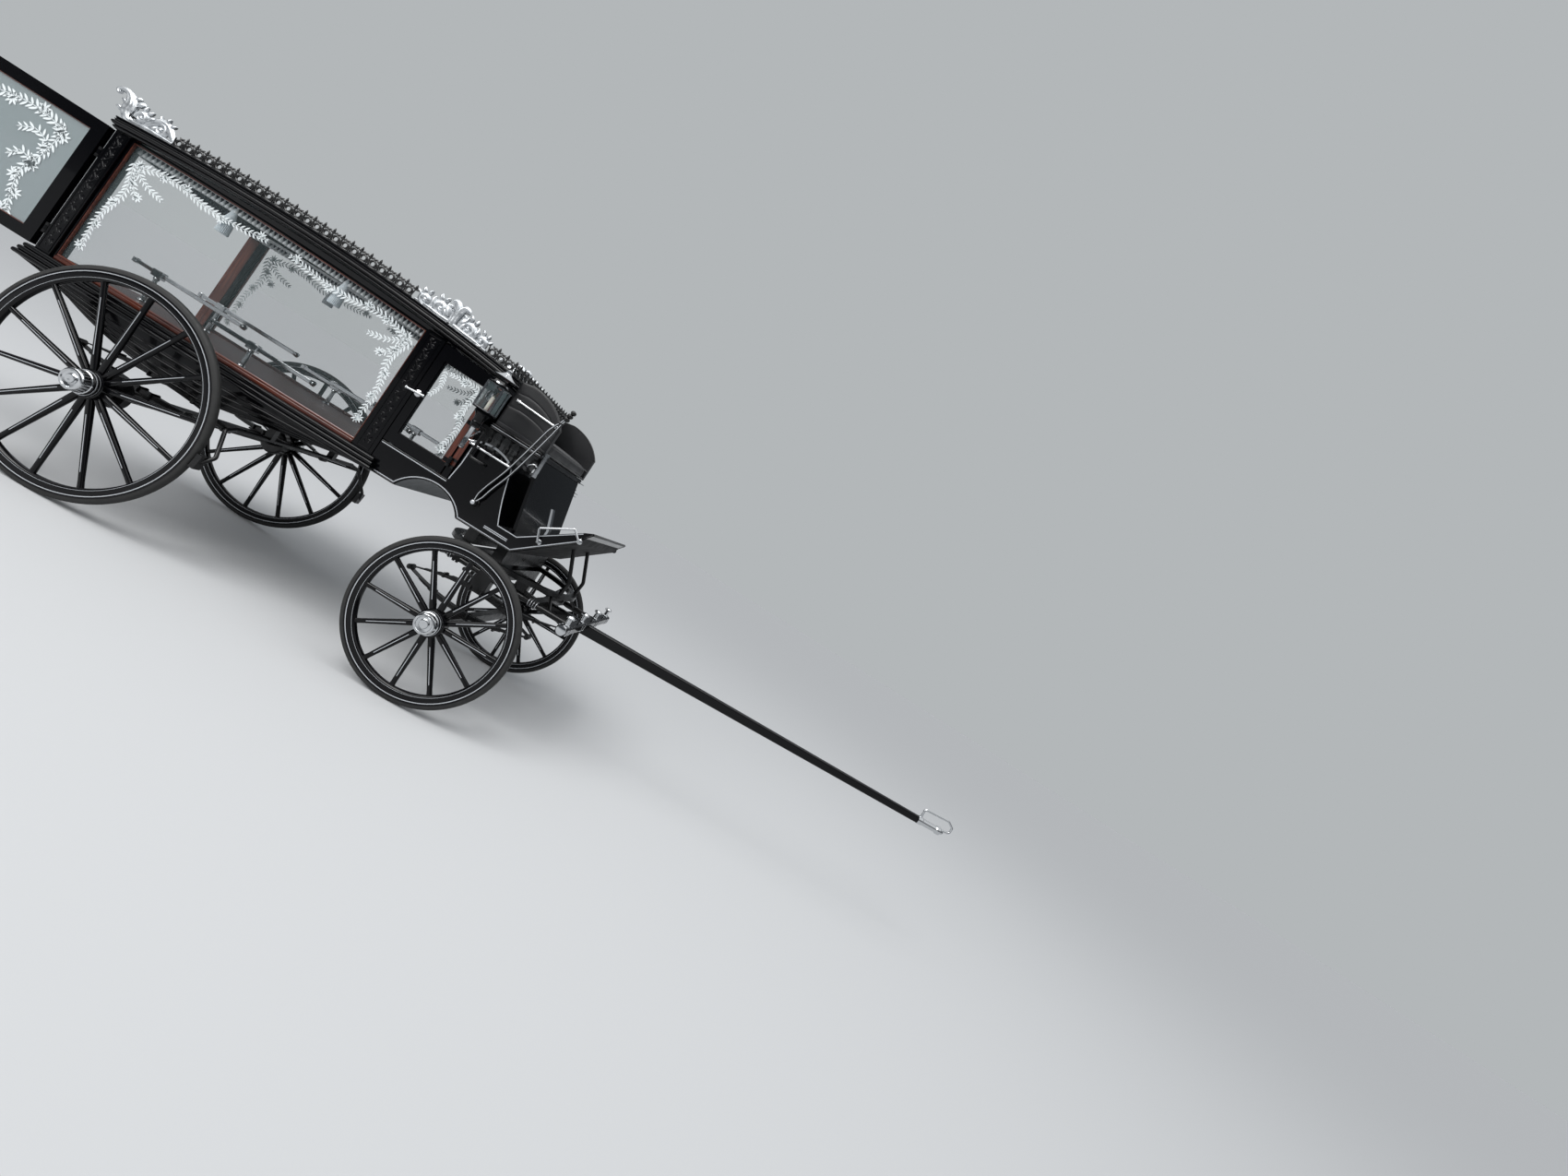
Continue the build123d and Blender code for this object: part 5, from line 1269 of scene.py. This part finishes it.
# Bright work on the box: bracket behind the arched rail, knobs, bolts, the whip socket's hook and rings
fit_y, whip = -boot_y - 0.007, np.array((front_x - 0.066, 0.020 - wing_high[1], 0))
bracket = smooth_path(fore((-0.441, 1.563), (-0.462, 1.522), (-0.477, 1.490), (-0.458, 1.487),
                           (-0.438, 1.495)), 40)
hook = [(-0.010, 0, 1.560), (-0.032, -0.004, 1.566), (-0.058, -0.006, 1.548), (-0.060, -0.006, 1.532)]
knob = [(-0.004, 0.004), (-0.002, 0.0095), (0.003, 0.0115), (0.008, 0.0095), (0.011, 0.003)]
fittings = [tube(at_y(bracket, fit_y), 0.0048, 8, up=Y), tube(smooth_path(whip + hook, 24), 0.0045, 8)]
fittings += [ring_band(whip + (0, 0, z), Z, 0, 0.0128, 0.005, 0.0024) for z in (1.512, 1.535, 1.62)]
fittings += [lathe(knob, (front_x + x, fit_y, 1.475), s * X, 20) for x, s in ((-0.447, -1), (-0.180, 1))]
fittings += [lathe([(0, 0.017), (0.003, 0.017), (0.005, 0.012), (0.007, 0.011)],
                   (front_x + x, -boot_y, z), -Y, 24) for x, z in ((0.198, 1.186), (0.400, 1.318))]
for x, z, s in ((-0.380, 1.842, -1), (-0.102, 1.830, 1)):
    fittings += [lathe(knob, (front_x + x, -wing_high[1] - 0.007, z), s * X, 20),
                 lathe([(0, 0.010), (0.003, 0.010), (0.004, 0.005), (0.008, 0.005)],
                       (front_x + x - 0.012 * s, 0.001 - wing_high[1], z), -Y, 16)]
piece("box_fittings", both(merge(*fittings)), nickel, angle=40)

# Leather lip along the footboard's upper edge
lip = tube(rows(front_x + 0.4475, np.linspace(0.004 - boot_y, boot_y - 0.004, 30), 1.3945), 0.0075, 12)
lip_strip = slab((front_x + 0.440, 0.006 - boot_y, 1.386), (front_x + 0.446, boot_y - 0.006, 1.390), 0.0015)
piece("toe_lip", merge(lip, lip_strip), leather)


# Springs: separate leaves with rolled eyes, clips and centre plates
def leaf_spring(place, x0, half):
    """Both halves of a full elliptic spring on the right side: leaves lie on z = z0 + (z1 - z0) (x / half)^2,
    each shorter than the last by a fifth."""
    low, high = span(f"{place}_springs")
    count, depth = 4, 0.026
    y0, middle, thick = 0.032 - high[1], (low[2] + high[2]) / 2, depth / count
    u = np.linspace(-1, 1, 33)
    parts = []
    for s, z_edge in ((1, low[2]), (-1, high[2])):
        for k in range(count):
            reach = 1 - 0.19 * k
            rise = middle - s * 0.002 - z_edge - s * depth
            inner = z_edge + s * (depth - thick * k) + rise * (reach * u) ** 2
            outer = inner - s * thick * 0.94
            w = 0.0245 * (1 - 0.35 * np.clip((np.abs(u) - 0.9) / 0.1, 0, 1) * (k > 0))
            parts.append(skin(rows((x0 + half * reach * u)[:, None], y0 + w[:, None] * (-1, 1, 1, -1),
                                   rows(inner, inner, outer, outer))))
        clip_z = z_edge + s * depth / 2 + (middle - z_edge - s * depth) * 0.52 ** 2
        clip = rounded(oblong(0.031, 0.0215, 0, 0.0095) * (1, s) + (y0, z_edge), 0.008).T
        for end in (-1, 1):
            parts += [block((x0 + end * 0.52 * half, y0, clip_z), (0.008, 0.0285, 0.017), 0.003),
                      tube(rows(x0 + end * 0.038, *clip), 0.0055, 8, closed=True, up=X)]
    for end in (-1, 1):
        eye = (x0 + end * half, y0 - 0.032, middle)
        parts += [lathe([(0, 0.0145), (0.004, 0.0168), (0.060, 0.0168), (0.064, 0.0145)], eye, Y, 28),
                  lathe([(-0.006, 0.0085), (-0.0055, 0.0105), (0.001, 0.0105)], eye, Y, 6),
                  lathe([(0.063, 0.0105), (0.0695, 0.0105), (0.070, 0.0085)], eye, Y, 6)]
    return merge(*parts)


for place, x0, half, body in (("rear", rear_x, 0.470, "body"), ("front", front_x, 0.413, "forecarriage")):
    piece(f"leaves_{place}", both(leaf_spring(place, x0, half)), iron, body,
          [f"{place}_springs"], angle=40)

# Undergear: silver rings on the turned futchells, nuts of frame and bearer, the splinter bar's bands
rings = [ring_band((front_x - 0.362, -0.330, 0.808), X, d, r - 0.003, 0.003, 0.003)
         for r, places in ((0.0228, (0.0105, 0.0295)), (0.0245, (0.066, 0.084)),
                           (0.0260, (0.646, 0.6645, 0.681, 0.699)))
         for d in places]
piece("futchell_rings", both(merge(*rings)), line, "forecarriage")
nut = [(0, 0.013), (0.002, 0.013), (0.0022, 0.0095), (0.0100, 0.0095), (0.0112, 0.0080)]
frame_nuts = [(front_x + x, y, 0.7915) for x in (-0.248, -0.224) for y in (-0.20, 0.20, -0.345, 0.345)]
bearer_nuts = [(front_x - 0.2785, y, 0.986) for y in (-0.30, -0.18, 0.18, 0.30)]


def nuts(places, d):
    """Hexagon nuts at several places, all facing one way."""
    a = X if abs(d[0]) < 0.5 else Y
    return repeat(lathe(nut, (0, 0, 0), Z, 6), matrix(a, np.cross(d, a), d, np.array(places)))


bar_x, _, bar_z = middle_of("splinter_bar")
bar_end = lathe([(0, 0.030), (0.002, 0.034), (0.020, 0.034), (0.026, 0.030), (0.029, 0.018), (0.030, 0.004)],
                (bar_x, 0.022 - span("splinter_bar")[1][1], bar_z), -Y, 36)
band = carry([(0, -0.005, 0), (0, 0, 0), (0, 0.005, 0)], rounded(oblong(0.036, 0.028), 0.013, 6))
bands = copies(band, [(bar_x, dy - y, bar_z) for y in (0.200, 0.575) for dy in (-0.034, 0.034)])
piece("splinter_ends", both(merge(bar_end, bands)), nickel, "forecarriage")
piece("frame_nuts", nuts(frame_nuts, -Z), iron, "forecarriage")
piece("bearer_nuts", nuts(bearer_nuts, -X), iron)

# Hinge plates on the rear post and escutcheons behind the door handles
plates = [slab((rear_x - 0.8425, -0.556, z0), (rear_x - 0.838, -0.534, z1), 0.001)
          for z0, z1 in ((1.744, 1.832), (1.110, 1.240))]
piece("hinge_plates", merge(*plates), nickel)
for side_name, side in sides:
    hx, _, hz = middle_of(f"quarter_handle_{side_name}")
    rose = lathe([(0, 0.021), (0.002, 0.021), (0.004, 0.018), (0.0048, 0.012), (0.006, 0.010)],
                 (hx, side * boot_y, hz), side * Y, 32)
    ends = [lathe([(-0.003, 0.004), (0, 0.0088), (0.004, 0.0100), (0.008, 0.0088), (0.011, 0.002)],
                  (hx + s * 0.050, side * (boot_y + 0.038), hz + s * 0.0038), s * X, 16) for s in (-1, 1)]
    piece(f"handle_rose_{side_name}", merge(rose, *ends), nickel, f"quarter_door_body_{side_name}")

# Floor, soft studio light and pale surroundings
bpy.ops.mesh.primitive_plane_add(size=400.0, location=(0, 0, 0))
floor = bpy.context.object
floor.name = "floor"
floor.data.materials.append(material("studio_floor", "#c8c9ca", 0.95, Specular_IOR_Level=0.1))


def softbox(name, place, aim, size, power):
    """A square area light at a place, turned towards a point."""
    data = bpy.data.lights.new(name, "AREA")
    data.shape, data.size, data.size_y = "RECTANGLE", size[0], size[1]
    data.energy = power
    lamp_object = bpy.data.objects.new(name, data)
    back = np.asarray(place, float) - np.asarray(aim, float)
    back /= np.linalg.norm(back)
    across = np.cross(Z, back)
    across /= np.linalg.norm(across)
    turned_by = Matrix(np.stack([across, np.cross(back, across), back], -1).tolist()).to_4x4()
    lamp_object.matrix_world = Matrix.Translation(place) @ turned_by
    bpy.context.scene.collection.objects.link(lamp_object)


sun = bpy.data.lights.new("sun", "SUN")
sun.energy, sun.angle = 1.5, radians(35)
sun_object = bpy.data.objects.new("sun", sun)
sun_object.matrix_world = Matrix.Rotation(radians(-28), 4, "Z") @ Matrix.Rotation(radians(38), 4, "X")
bpy.context.scene.collection.objects.link(sun_object)
softbox("key", (-5.0, -6.5, 5.0), (-0.5, 0, 1.0), (6.0, 2.5), 260)
softbox("sky", (0.5, -1.5, 8.0), (0, 0, 0.5), (10.0, 4.0), 260)

world = bpy.data.worlds.new("studio")
bpy.context.scene.world = world
world.use_nodes = True
tree = world.node_tree
background = tree.nodes["Background"]
rays = add(tree, "LightPath")
seen = add(tree, "Math", None, {0: rays.outputs["Is Camera Ray"], 1: rays.outputs["Is Transmission Ray"]},
           operation="MAXIMUM")
tone = add(tree, "Mix", {6: linear("#a9adb1"), 7: linear("#b3b7b9")}, {0: seen.outputs["Value"]},
           data_type="RGBA")
direction = add(tree, "SeparateXYZ", None, {0: add(tree, "TexCoord").outputs["Generated"]})
height = add(tree, "MapRange", {"From Min": 0.10, "From Max": 0.75}, {"Value": direction.outputs["Z"]},
             interpolation_type="SMOOTHSTEP")
sky = add(tree, "Mix", {6: linear("#4a4e52"), 7: linear("#f6f8fa")}, {0: height.outputs["Result"]},
          data_type="RGBA")
dark = add(tree, "Mix", None, {0: rays.outputs["Is Glossy Ray"], 6: tone.outputs[2], 7: sky.outputs[2]},
           data_type="RGBA")
tree.links.new(dark.outputs[2], background.inputs["Color"])
background.inputs["Strength"].default_value = 1.0
bpy.context.scene.view_settings.view_transform = "Standard"
